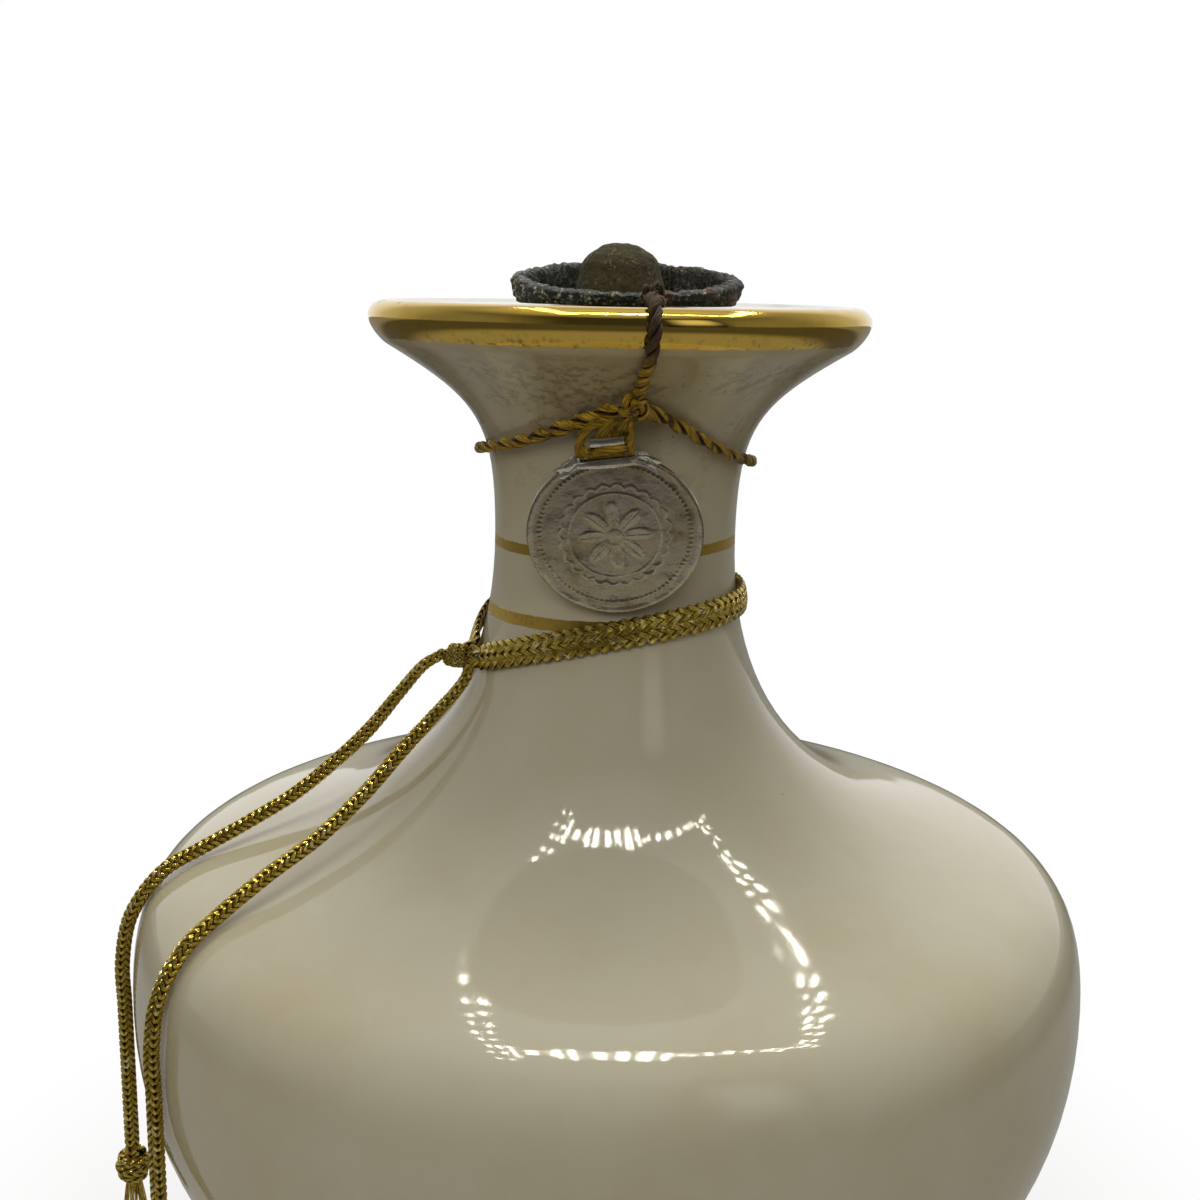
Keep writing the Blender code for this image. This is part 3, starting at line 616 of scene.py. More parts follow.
def braid_strands(points, normals, half_width, half_thickness, pitch, columns=8, carriers=16):
    """Flat strands that pass over and under each other round an oval, in columns of opposite slant.

    The half-axes are single lengths, or lists with one for each point."""
    along = run_along(points)
    half_width = np.broadcast_to(half_width, along.shape)
    half_thickness = np.broadcast_to(half_thickness, along.shape)
    tangents = unit(np.gradient(points, axis=0))
    across = unit(np.cross(normals, tangents))
    thin = float(half_thickness.max())
    over = thin * OVER_SHARE
    strand_thickness = thin * STRAND_THICKNESS_SHARE
    wide_reach = half_width - over - strand_thickness
    high_reach = half_thickness - over - strand_thickness
    middle = len(along) // 2
    turn = even_turn(wide_reach[middle], high_reach[middle])
    perimeter = math.pi * (wide_reach[middle] + high_reach[middle]) * 0.98
    slant = math.atan2(perimeter, pitch)
    each_way = carriers // 2
    strand_width = pitch / each_way * math.sin(slant) * STRAND_WIDTH_SHARE
    strands = []
    for way in (1, -1):
        for carrier in range(each_way):
            share = way * along / pitch + carrier / each_way
            angle = turn(share)
            rise = way * over * np.tanh(FLOAT_STEEPNESS * np.sin(math.tau * share * columns / 2))
            cosine = np.cos(angle)
            sine = np.sin(angle)
            centres = (
                points
                + across * (cosine * (wide_reach + rise))[:, None]
                + normals * (sine * (high_reach + rise))[:, None]
            )
            outwards = unit(across * (cosine * high_reach)[:, None] + normals * (sine * wide_reach)[:, None])
            strands.append(strand_of(centres, outwards, strand_width, strand_thickness))
    return strands


def laid_strands(points, normals, radius, pitch, count=2, phase=0.0):
    """Strands laid round each other, as in twine.

    The radius is a length, or a list with one for each point."""
    along = run_along(points)
    radius = np.broadcast_to(radius, along.shape)
    tangents = unit(np.gradient(points, axis=0))
    across = unit(np.cross(normals, tangents))
    strand = radius * {1: 1.0, 2: 0.52, 3: 0.48}.get(count, 1 / (1 + 1 / math.sin(math.pi / count)))
    reach = (radius - strand)[:, None]
    strands = []
    for number in range(count):
        angle = (math.tau * (along / pitch + number / count) + phase)[:, None]
        outwards = across * np.cos(angle) + normals * np.sin(angle)
        strands.append(strand_of(points + outwards * reach, outwards, strand * 1.16, strand))
    if count > 3:
        strands.append(strand_of(points, normals, radius - strand, radius - strand))
    return strands


def stray_fibres(points, radius, count, length, seed, thickness=0.00003):
    """Short curled fibres that stand off a cord."""
    chance = random.Random(seed)
    fibres = []
    for _ in range(count):
        root = points[chance.randrange(2, len(points) - 2)]
        way = Vector([chance.gauss(0, 1) for _ in range(3)]).normalized()
        curl = Vector([chance.gauss(0, 1) for _ in range(3)]).normalized()
        reach = length * chance.uniform(0.4, 1)
        line = [
            np.array(Vector(root) + way * (radius * 0.7 + reach * t) + curl * (reach * 0.6 * t * t))
            for t in np.linspace(0, 1, 5)
        ]
        centres = np.array(line)
        fibres.append(strand_of(centres, carried_normals(centres, curl), thickness, thickness))
    return fibres


def node(tree, kind, **inputs):
    """A new node, with its named or numbered inputs and its settings given their values or links."""
    made = tree.nodes.new(kind)
    for key, value in inputs.items():
        if key.startswith("set_"):
            setattr(made, key[4:], value)
        elif key.startswith("in_"):
            connect(tree, value, made.inputs[int(key[3:])])
        else:
            connect(tree, value, made.inputs[key.replace("_", " ")])
    return made


def connect(tree, value, socket):
    """Links an output to a socket, or sets the socket's own value."""
    if isinstance(value, bpy.types.NodeSocket):
        tree.links.new(value, socket)
    else:
        socket.default_value = value


def maths(tree, operation, *values, clamp=False):
    made = tree.nodes.new("ShaderNodeMath")
    made.operation = operation
    made.use_clamp = clamp
    for socket, value in zip(made.inputs, values):
        connect(tree, value, socket)
    return made.outputs[0]


def times(tree, first, second):
    return maths(tree, "MULTIPLY", first, second)


def plus(tree, first, second, clamp=False):
    return maths(tree, "ADD", first, second, clamp=clamp)


def minus(tree, first, second, clamp=False):
    return maths(tree, "SUBTRACT", first, second, clamp=clamp)


def largest(tree, first, second):
    return maths(tree, "MAXIMUM", first, second)


def ramp(tree, value, low, high, to_low=0.0, to_high=1.0):
    """Maps a value's stretch from low to high onto another one, smoothly."""
    made = tree.nodes.new("ShaderNodeMapRange")
    made.interpolation_type = "SMOOTHSTEP"
    keys = ("Value", "From Min", "From Max", "To Min", "To Max")
    for key, part in zip(keys, (value, low, high, to_low, to_high)):
        connect(tree, part, made.inputs[key])
    return made.outputs["Result"]


def blend(tree, share, first, second):
    """A share of the second colour over the first one."""
    made = tree.nodes.new("ShaderNodeMix")
    made.data_type = "RGBA"
    connect(tree, share, made.inputs[0])
    for value, socket in ((first, made.inputs[6]), (second, made.inputs[7])):
        connect(tree, value if isinstance(value, bpy.types.NodeSocket) else (*value, 1), socket)
    return made.outputs[2]


def toned(colour, shares):
    """A colour with each channel multiplied by its own share."""
    return tuple(c * s for c, s in zip(colour, shares))


def axis_of(tree, vector, axis):
    return node(tree, "ShaderNodeSeparateXYZ", Vector=vector).outputs[axis]


def noise_texture(tree, place, scale, detail, roughness=0.5):
    made = node(tree, "ShaderNodeTexNoise", Vector=place, Scale=scale, Detail=detail, Roughness=roughness)
    return made.outputs["Fac"]


def make_group(name, inputs, outputs):
    """An empty node group and its end nodes. An input is a number with its value, or a vector with None."""
    tree = bpy.data.node_groups.new(name, "ShaderNodeTree")
    for label, value in inputs.items():
        kind = "NodeSocketVector" if value is None else "NodeSocketFloat"
        socket = tree.interface.new_socket(label, in_out="INPUT", socket_type=kind)
        if value is not None:
            socket.default_value = value
    for label in outputs:
        tree.interface.new_socket(label, in_out="OUTPUT", socket_type="NodeSocketFloat")
    return tree, tree.nodes.new("NodeGroupInput"), tree.nodes.new("NodeGroupOutput")


def use_group(tree, name, **inputs):
    made = tree.nodes.new("ShaderNodeGroup")
    made.node_tree = bpy.data.node_groups[name]
    for key, value in inputs.items():
        connect(tree, value, made.inputs[key])
    return made


def blotch_mask(tree, place, scale, cover, softness):
    made = use_group(tree, "blotches", Place=place, Scale=scale, Cover=cover, Softness=softness)
    return made.outputs["Mask"]


def speck_mask(tree, place, scale, size, share):
    made = use_group(tree, "specks", Place=place, Scale=scale, Size=size, Share=share)
    return made.outputs["Mask"]


def build_groups():
    """The effects that several finishes share: blotches, specks, laid fibres and a crust."""
    tree, ends, out = make_group(
        "blotches", {"Place": None, "Scale": 100.0, "Cover": 0.5, "Softness": 0.1}, ["Mask"]
    )
    cloud = noise_texture(tree, ends.outputs["Place"], ends.outputs["Scale"], 6.0, 0.62)
    level = minus(tree, 1.0, ends.outputs["Cover"])
    high = plus(tree, level, ends.outputs["Softness"])
    connect(tree, ramp(tree, cloud, level, high), out.inputs["Mask"])

    tree, ends, out = make_group(
        "specks", {"Place": None, "Scale": 800.0, "Size": 0.2, "Share": 0.1}, ["Mask"]
    )
    cells = node(tree, "ShaderNodeTexVoronoi", Vector=ends.outputs["Place"], Scale=ends.outputs["Scale"])
    red = node(tree, "ShaderNodeSeparateColor", Color=cells.outputs["Color"]).outputs["Red"]
    chosen = maths(tree, "LESS_THAN", red, ends.outputs["Share"])
    near = ramp(tree, cells.outputs["Distance"], ends.outputs["Size"], 0.0)
    connect(tree, times(tree, near, chosen), out.inputs["Mask"])

    tree, ends, out = make_group(
        "laid fibres", {"Count": 6.0, "Length": 2.0, "Depth": 1.0}, ["Height", "Shade", "Turned Away"]
    )
    spot = node(tree, "ShaderNodeUVMap", set_uv_map="fibre")
    parts = node(tree, "ShaderNodeSeparateXYZ", Vector=spot.outputs["UV"])
    share = maths(tree, "FRACT", plus(tree, parts.outputs["Y"], 0.25))
    away = maths(tree, "ABSOLUTE", minus(tree, share, 0.5))
    connect(tree, times(tree, away, 2.0), out.inputs["Turned Away"])
    turns = times(tree, parts.outputs["Y"], ends.outputs["Count"])
    wave = maths(tree, "SINE", times(tree, turns, math.tau))
    connect(tree, times(tree, wave, ends.outputs["Depth"]), out.inputs["Height"])
    lane = maths(tree, "FLOOR", turns)
    stretch = maths(tree, "DIVIDE", parts.outputs["X"], ends.outputs["Length"])
    place = node(tree, "ShaderNodeCombineXYZ", X=stretch, Y=times(tree, lane, 7.31))
    connect(tree, noise_texture(tree, place.outputs["Vector"], 1.0, 2.0), out.inputs["Shade"])

    tree, ends, out = make_group("crust", {"Place": None, "Scale": 900.0, "Fine": 4000.0}, ["Height"])
    rough = noise_texture(tree, ends.outputs["Place"], ends.outputs["Scale"], 8.0)
    grit = noise_texture(tree, ends.outputs["Place"], ends.outputs["Fine"], 3.0)
    connect(tree, plus(tree, rough, times(tree, grit, 0.35)), out.inputs["Height"])


def new_finish(name):
    """A material, its tree, its Principled shader and its Object coordinates."""
    material = bpy.data.materials.new(name + "_finish")
    material.use_nodes = True
    tree = material.node_tree
    shader = tree.nodes["Principled BSDF"]
    place = tree.nodes.new("ShaderNodeTexCoord").outputs["Object"]
    return material, tree, shader, place


def bump(tree, shader, height, strength, distance):
    made = node(tree, "ShaderNodeBump", Height=height, Strength=strength, Distance=distance)
    connect(tree, made.outputs["Normal"], shader.inputs["Normal"])


def porcelain_finish(colours):
    """Ivory glaze with stains under the rim, laid on strong enough to paint the shade there too, pinholes, a
    gilt lip and two gilt lines.
    """
    material, tree, shader, place = new_finish("porcelain")
    parts = node(tree, "ShaderNodeSeparateXYZ", Vector=place)
    x, y, level = (parts.outputs[axis] for axis in "XYZ")
    radius = maths(tree, "SQRT", plus(tree, times(tree, x, x), times(tree, y, y)))
    clouds = blotch_mask(tree, place, 28.0, 0.62, 0.35)
    mottle = blotch_mask(tree, place, 260.0, 0.55, 0.3)
    warm = toned(colours.glaze, (0.93, 0.89, 0.80))
    colour = blend(tree, clouds, colours.glaze, warm)
    faint = times(tree, mottle, 0.16)
    colour = blend(tree, faint, colour, warm)

    # The whole flare has a warm stain, and darker stains gather under the rim; these real stains are laid on
    # strong enough to paint the shade under the rim as well
    tinted = ramp(tree, level, HEIGHT - 0.040, HEIGHT - 0.010)
    tan = toned(colours.glaze, (0.84, 0.79, 0.66))
    colour = blend(tree, tinted, colour, tan)
    flare_low = ramp(tree, level, HEIGHT - 0.034, HEIGHT - 0.016)
    flare_high = ramp(tree, level, HEIGHT - GILT_LIP_DROP, HEIGHT - GILT_LIP_DROP - 0.004)
    flare = times(tree, flare_low, flare_high)
    smear = node(tree, "ShaderNodeMapping", Vector=place, Scale=(1.0, 1.0, 1.3))
    stain = blotch_mask(tree, smear.outputs["Vector"], 75.0, 0.58, 0.16)
    drift = blotch_mask(tree, smear.outputs["Vector"], 620.0, 0.56, 0.16)
    stain_and_shade = times(tree, times(tree, stain, drift), flare)
    colour = blend(tree, times(tree, stain_and_shade, 0.66), colour, colours.stain)
    specks = speck_mask(tree, place, 1100.0, 0.34, 0.34)
    crowded = blotch_mask(tree, place, 95.0, 0.44, 0.08)
    speckled = times(tree, times(tree, specks, crowded), flare)
    colour = blend(tree, times(tree, speckled, 0.8), colour, tuple(c * 0.5 for c in colours.stain))
    pinholes = speck_mask(tree, place, 260.0, 0.07, 0.10)
    colour = blend(tree, times(tree, pinholes, 0.7), colour, colours.stain)

    # The gilding's edges waver a little, and its lower edge on the lip is worn through in specks
    waver = noise_texture(tree, place, 420.0, 3.0)
    fine_waver = noise_texture(tree, place, 1800.0, 2.0)
    lifted = plus(tree, level, times(tree, minus(tree, waver, 0.5), 0.0005))
    lip_edge = HEIGHT - GILT_LIP_DROP
    lip = ramp(tree, lifted, lip_edge - 0.00005, lip_edge + 0.00005)
    outside = ramp(tree, radius, *GILT_START_RADII)
    gilt = times(tree, lip, outside)
    worn = speck_mask(tree, place, 1150.0, 0.75, 0.55)
    patchy = blotch_mask(tree, place, 130.0, 0.60, 0.2)
    near_edge = times(tree, ramp(tree, level, lip_edge + 0.0026, lip_edge + 0.0004), patchy)
    gone = times(tree, times(tree, worn, near_edge), 0.75)
    lines = 0.0
    for drop, half in GILT_LINES:
        sloped = minus(tree, lifted, times(tree, x, GILT_LINE_SLOPE))
        distance = maths(tree, "ABSOLUTE", minus(tree, sloped, HEIGHT - drop))
        lines = largest(tree, lines, ramp(tree, distance, half + 0.00008, half - 0.00008))
    gilt = largest(tree, gilt, lines)
    shown = minus(tree, gilt, gone, clamp=True)
    tarnish = blotch_mask(tree, place, 190.0, 0.5, 0.3)
    dull = toned(colours.gilt, (0.70, 0.60, 0.45))
    gold = blend(tree, times(tree, tarnish, 0.5), colours.gilt, dull)
    gold = blend(tree, gone, gold, WORN_GILT)
    colour = blend(tree, gilt, colour, gold)
    chipped = 0.0
    for azimuth, out, drop, size in LIP_CHIPS:
        turn = math.radians(azimuth)
        spot = (out * math.sin(turn), -out * math.cos(turn), HEIGHT - drop)
        gap = node(tree, "ShaderNodeVectorMath", in_0=place, in_1=spot, set_operation="DISTANCE")
        uneven = times(tree, minus(tree, fine_waver, 0.5), size * 1.2)
        ragged = plus(tree, gap.outputs["Value"], uneven)
        chipped = largest(tree, chipped, ramp(tree, ragged, size, size * 0.7))
    colour = blend(tree, chipped, colour, CHIP_COLOUR)
    connect(tree, colour, shader.inputs["Base Color"])
    connect(tree, minus(tree, shown, chipped, clamp=True), shader.inputs["Metallic"])
    handled = blotch_mask(tree, place, 60.0, 0.5, 0.4)
    glaze_rough = ramp(tree, handled, 0.0, 1.0, 0.06, 0.13)
    gilt_rough = ramp(tree, tarnish, 0.0, 1.0, 0.10, 0.24)
    gilt_rough = plus(tree, gilt_rough, times(tree, lines, 0.24))
    rough = ramp(tree, gilt, 0.0, 1.0, glaze_rough, gilt_rough)
    connect(tree, plus(tree, rough, times(tree, stain_and_shade, 0.12)), shader.inputs["Roughness"])
    shader.inputs["IOR"].default_value = 1.52
    shader.inputs["Coat Weight"].default_value = 0.0
    ripple = noise_texture(tree, place, 45.0, 2.0)
    fine = noise_texture(tree, place, 900.0, 2.0)
    raised = times(tree, gilt, 0.06)
    height = plus(tree, ripple, times(tree, fine, 0.015))
    bump(tree, shader, plus(tree, height, raised), 0.35, 0.0006)
    return material


def cork_finish(name, base, scale, dark_cover):
    """Cork or weathered wood: a warm brown with dark pores and pale flecks."""
    material, tree, shader, place = new_finish(name)
    grain = blotch_mask(tree, place, scale, 0.55, 0.3)
    deep = tuple(c * 0.35 for c in base)
    pale = tuple(min(1, c * 3.4 + 0.06) for c in base)
    colour = blend(tree, grain, base, tuple(c * 0.62 for c in base))
    pores = blotch_mask(tree, place, scale * 3, dark_cover, 0.08)
    colour = blend(tree, pores, colour, deep)
    flecks = blotch_mask(tree, place, scale * 2.4, 0.44, 0.05)
    rubbed = blotch_mask(tree, place, scale * 0.35, 0.50, 0.08)
    flecked = times(tree, flecks, rubbed)
    colour = blend(tree, times(tree, flecked, 0.7), colour, pale)
    connect(tree, colour, shader.inputs["Base Color"])
    shader.inputs["Roughness"].default_value = 0.82
    crust = use_group(tree, "crust", Place=place, Scale=scale * 2, Fine=scale * 9)
    bump(tree, shader, crust.outputs["Height"], 1.0, 0.0006)
    return material


def foil_finish(colours):
    """Tarnished foil: near-black, with blue-green and red-brown patches, pale flecks and worn chips."""
    material, tree, shader, place = new_finish("tarnished_foil")
    parts = node(tree, "ShaderNodeSeparateXYZ", Vector=place)
    green = blotch_mask(tree, place, 520.0, 0.50, 0.12)
    cool = ramp(tree, parts.outputs["X"], 0.012, -0.006, 0.45, 1.0)
    colour = blend(tree, times(tree, green, cool), colours.foil, colours.verdigris)
    red = blotch_mask(tree, place, 230.0, 0.50, 0.10)
    right = ramp(tree, parts.outputs["X"], -0.004, 0.010, 0.15, 1.0)
    colour = blend(tree, times(tree, red, right), colour, colours.rust)
    pale = blotch_mask(tree, place, 1300.0, 0.44, 0.04)
    left = ramp(tree, parts.outputs["X"], 0.008, -0.014, 0.30, 1.0)
    grey = blend(tree, left, *FOIL_FLECKS)
    colour = blend(tree, times(tree, pale, left), colour, grey)
    worn = blotch_mask(tree, place, 300.0, 0.50, 0.06)
    chips = speck_mask(tree, place, 1500.0, 0.60, 0.50)
    chipped = times(tree, chips, worn)
    colour = blend(tree, chipped, colour, RAW_FOIL)
    inside = node(tree, "ShaderNodeVectorMath", in_0=place, in_1=(0.001, 0, HEIGHT), set_operation="SUBTRACT")
    flat = node(
        tree, "ShaderNodeVectorMath", in_0=inside.outputs[0], in_1=(1, 1, 0), set_operation="MULTIPLY"
    )
    reach = node(tree, "ShaderNodeVectorMath", in_0=flat.outputs[0], set_operation="LENGTH")
    shaded = ramp(tree, reach.outputs["Value"], 0.0168, 0.0157, 0.0, 0.82)
    colour = blend(tree, shaded, colour, FOIL_SHADE)
    connect(tree, colour, shader.inputs["Base Color"])
    shader.inputs["Metallic"].default_value = 0.1
    rough = ramp(tree, green, 0.0, 1.0, 0.40, 0.75)
    connect(tree, rough, shader.inputs["Roughness"])
    crust = use_group(tree, "crust", Place=place, Scale=1100.0, Fine=4200.0)
    bump(tree, shader, crust.outputs["Height"], 1.0, 0.0009)
    return material


def twine_finish(name, base, dark, dark_share):
    """Waxed twine: flat amber fibres, maroon painted shade in the valleys where the strands meet, and dirt.
    """
    material, tree, shader, place = new_finish(name)
    lay = use_group(tree, "laid fibres", Count=11.0, Length=2.6, Depth=1.0)
    paler = tuple(min(1, c * s + 0.01) for c, s in zip(base, (1.9, 1.9, 1.5)))
    deeper = tuple(c * 0.45 for c in base)
    shade = lay.outputs["Shade"]
    level = axis_of(tree, place, "Z")
    aged = times(tree, ramp(tree, level, HEIGHT - 0.0100, HEIGHT - 0.0050), dark_share)
    base = blend(tree, aged, base, AGED_TWINE)
    paler = blend(tree, aged, paler, tuple(c * 1.6 for c in AGED_TWINE))
    colour = blend(tree, ramp(tree, shade, 0.46, 0.66), base, paler)
    colour = blend(tree, times(tree, ramp(tree, shade, 0.48, 0.34), 0.8), colour, deeper)
    # Painted shade: the sides of each strand that turn towards the other strand are darkened to maroon
    between = ramp(tree, lay.outputs["Turned Away"], 0.48, 0.66)
    colour = blend(tree, times(tree, between, 0.92), colour, dark)
    dirt = blotch_mask(tree, place, 430.0, 0.47, 0.14)
    grubby = plus(tree, times(tree, aged, 0.35), dirt, clamp=True)
    colour = blend(tree, times(tree, grubby, 0.9), colour, dark)
    connect(tree, colour, shader.inputs["Base Color"])
    connect(tree, ramp(tree, shade, 0.35, 0.65, 0.62, 0.38), shader.inputs["Roughness"])
    shader.inputs["Specular IOR Level"].default_value = 0.6
    bump(tree, shader, lay.outputs["Height"], 0.8, 0.00010)
    return material


def metal_finish(name, colour, rough_low, rough_high, grime_share):
    """Bare metal with grime in its hollows, fine scratches, soft dents, and painted shade that darkens it
    towards the top of the seal.
    """
    material, tree, shader, place = new_finish(name)
    stain = blotch_mask(tree, place, 210.0, 0.52, 0.22)
    warm = toned(colour, (0.78, 0.71, 0.58))
    base = blend(tree, stain, colour, warm)
    dark = toned(colour, (0.16, 0.14, 0.11))
    grime = blotch_mask(tree, place, 650.0, 0.38, 0.12)
    base = blend(tree, times(tree, grime, grime_share * 0.8), base, dark)
    hollow = node(tree, "ShaderNodeAttribute", set_attribute_name="hollow")
    base = blend(tree, times(tree, hollow.outputs["Fac"], grime_share), base, dark)
    pits = speck_mask(tree, place, 1500.0, 0.25, 0.12)
    base = blend(tree, times(tree, pits, grime_share), base, dark)
    # Painted shade: the metal is darkened towards the top of the seal
    level = axis_of(tree, place, "Z")
    painted_top_shade = ramp(tree, level, HEIGHT - 0.046, HEIGHT - 0.022, 0.0, grime_share * 0.52)
    base = blend(tree, painted_top_shade, base, dark)
    connect(tree, base, shader.inputs["Base Color"])
    shader.inputs["Metallic"].default_value = 1.0
    connect(tree, ramp(tree, stain, 0.0, 1.0, rough_low, rough_high), shader.inputs["Roughness"])
    brushed = node(tree, "ShaderNodeMapping", Vector=place, Scale=(1.0, 1.0, 0.12))
    scratches = noise_texture(tree, brushed.outputs["Vector"], 3200.0, 3.0)
    dents = noise_texture(tree, place, 520.0, 6.0, 0.6)
    height = plus(tree, dents, times(tree, scratches, 0.2))
    bump(tree, shader, height, 1.0, 0.00022)
    return material


def thread_finish(colours):
    """Metallic thread: flat bundles with dull lengths, silvery lengths and glints painted on as highlights,
    and painted shade in the gaps between them.
    """
    material, tree, shader, place = new_finish("gold_braid")
    lay = use_group(tree, "laid fibres", Count=16.0, Length=1.1, Depth=1.0)
    shade = lay.outputs["Shade"]
    dull = toned(colours.thread, (0.50, 0.44, 0.30))
    # Painted highlights: the silvery lengths picked out by the fibre noise stand in for the threads' sparkle
    bright = tuple(min(1, c * s) for c, s in zip(colours.thread, (1.5, 1.6, 2.4)))
    colour = blend(tree, ramp(tree, shade, 0.36, 0.56), dull, colours.thread)
    colour = blend(tree, ramp(tree, shade, 0.58, 0.70), colour, bright)
    dirt = blotch_mask(tree, place, 240.0, 0.46, 0.2)
    colour = blend(tree, times(tree, dirt, 0.55), colour, dull)
    # Painted highlights: pale gold blotches stand in for the glints of light the threads catch
    painted_glint = blotch_mask(tree, place, 620.0, 0.44, 0.06)
    colour = blend(tree, times(tree, painted_glint, 0.60), colour, THREAD_GLINT)
    # Painted shade: the sides of the strands, where they dip between their neighbours, are darkened
    deep = toned(colours.thread, (0.06, 0.04, 0.03))
    between = ramp(tree, lay.outputs["Turned Away"], 0.30, 0.48)
    colour = blend(tree, times(tree, between, 0.85), colour, deep)
    connect(tree, colour, shader.inputs["Base Color"])
    shader.inputs["Metallic"].default_value = 0.92
    connect(tree, ramp(tree, painted_glint, 0.0, 1.0, 0.26, 0.14), shader.inputs["Roughness"])
    bump(tree, shader, lay.outputs["Height"], 0.3, 0.00002)
    return material


def build_finishes(colours):
    """Makes the shared effects and every material once."""
    build_groups()
    porcelain_finish(colours)
    cork_finish("cork", colours.cork, 900.0, 0.40)
    cork_finish("knob_wood", colours.knob, 700.0, 0.44)
    foil_finish(colours)
    twine_finish("twine", colours.twine, colours.twine_dark, 0.0)
    twine_finish("twine_dark", colours.twine, colours.twine_dark, 1.0)
    metal_finish("stamped_aluminium", colours.tin, 0.17, 0.34, 0.85)
    metal_finish("bright_aluminium", BRIGHT_METAL, 0.14, 0.26, 0.15)
    thread_finish(colours)


def finish_named(name):
    """The finish of this name, made with all the others when there is none yet."""
    if name + "_finish" not in bpy.data.materials:
        build_finishes(bpy.context.scene.bottle_colours)
    return bpy.data.materials[name + "_finish"]


class BottlePorcelain(bpy.types.Operator):
    """Models the porcelain body with its wall, mouth, recessed top and foot"""

    bl_idname = "bottle.porcelain"
    bl_label = "Porcelain body"

    def execute(self, context):
        sizes = context.scene.bottle_sizes
        inner = OUTLINE - WALL * NORMALS
        inside = [p for p in inner[::5] if p[1] > THROAT_DROP + WALL and HEIGHT - p[1] > FLOOR_HEIGHT + WALL]
        points = [(0, FLOOR_HEIGHT), (FOOT_RADIUS - WALL, FLOOR_HEIGHT)]
        points += [upright(point) for point in reversed(inside)]
        points += [
            (WAIST_RADIUS - WALL, HEIGHT - THROAT_DROP),
            (MOUTH_RADIUS, HEIGHT - SEAT_DROP),
            (MOUTH_RADIUS, HEIGHT - TOP_RECESS),
            (RECESS_RADIUS, HEIGHT - TOP_RECESS),
        ]
        stations = corners(points)
        stretches = outline_handles()
        before = None
        for start, first, second, _ in stretches:
            stations.append((*upright(start), before and upright(before), upright(first)))
            before = second
        stations.append((*upright(stretches[-1][3]), upright(before), None))
        stations += corners(
            [
                (FOOT_RADIUS, 0),
                (FOOT_RADIUS - FOOT_WIDTH, 0),
                (FOOT_RADIUS - FOOT_WIDTH - FOOT_RECESS, FOOT_RECESS),
                (0, FOOT_RECESS),
            ]
        )
        body = lathe(stations, sizes.turned_sides, 20)
        seat(body, "porcelain_body", "bottle", finish_named("porcelain"), ["bottle_body"])
        return {"FINISHED"}


class BottleStopper(bpy.types.Operator):
    """Models the cork and the small weathered knob set in it"""

    bl_idname = "bottle.stopper"
    bl_label = "Cork and knob"

    def execute(self, context):
        low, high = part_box("stopper_cork")
        radius = (high[0] - low[0]) / 2
        chamfer = radius / 15
        points = [
            (0, high[2] - 0.0106),
            (0.0033, high[2] - 0.0106),
            (0.0033, high[2]),
            (radius - chamfer, high[2]),
            (radius, high[2] - chamfer),
            (radius * 0.975, low[2] + chamfer),
            (radius * 0.93, low[2]),
            (0, low[2]),
        ]
        cork = lathe(corners(points), 96)
        seat(cork, "cork_plug", "stopper", finish_named("cork"), ["stopper_cork"])

        low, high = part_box("stopper_knob")
        foot = HEIGHT - TOP_RECESS + CLEARANCE
        rise = high[2] - foot
        reach = (high[0] - low[0]) / 2
        peg = 0.0030
        dome = [
            (0, high[2]),
            (reach * 0.23, high[2] - rise * 0.017),
            (reach * 0.40, high[2] - rise * 0.06),
            (reach * 0.55, high[2] - rise * 0.13),
            (reach * 0.70, high[2] - rise * 0.22),
            (reach * 0.80, high[2] - rise * 0.34),
            (reach * 0.85, high[2] - rise * 0.50),
            (reach * 0.91, high[2] - rise * 0.70),
            (reach * 0.955, high[2] - rise * 0.88),
        ]
        stations = rounded(dome)
        stations += corners([(reach * 0.98, foot), (peg, foot), (peg, low[2]), (0, low[2])])
        knob = lathe(stations, 96, 8)
        for vertex in knob.data.vertices:
            if vertex.co.z < foot + CLEARANCE:
                continue
            share = min(1, (vertex.co.z - foot) / rise)
            dent = wander(vertex.co, 260, 0.00024) + wander(vertex.co, 900, 0.00016) - 0.0001
            away = Vector((vertex.co.x, vertex.co.y, (vertex.co.z - foot) * share)).normalized()
            vertex.co += away * dent
        seat(knob, "knob", "stopper", finish_named("knob_wood"), ["stopper_knob"])
        return {"FINISHED"}


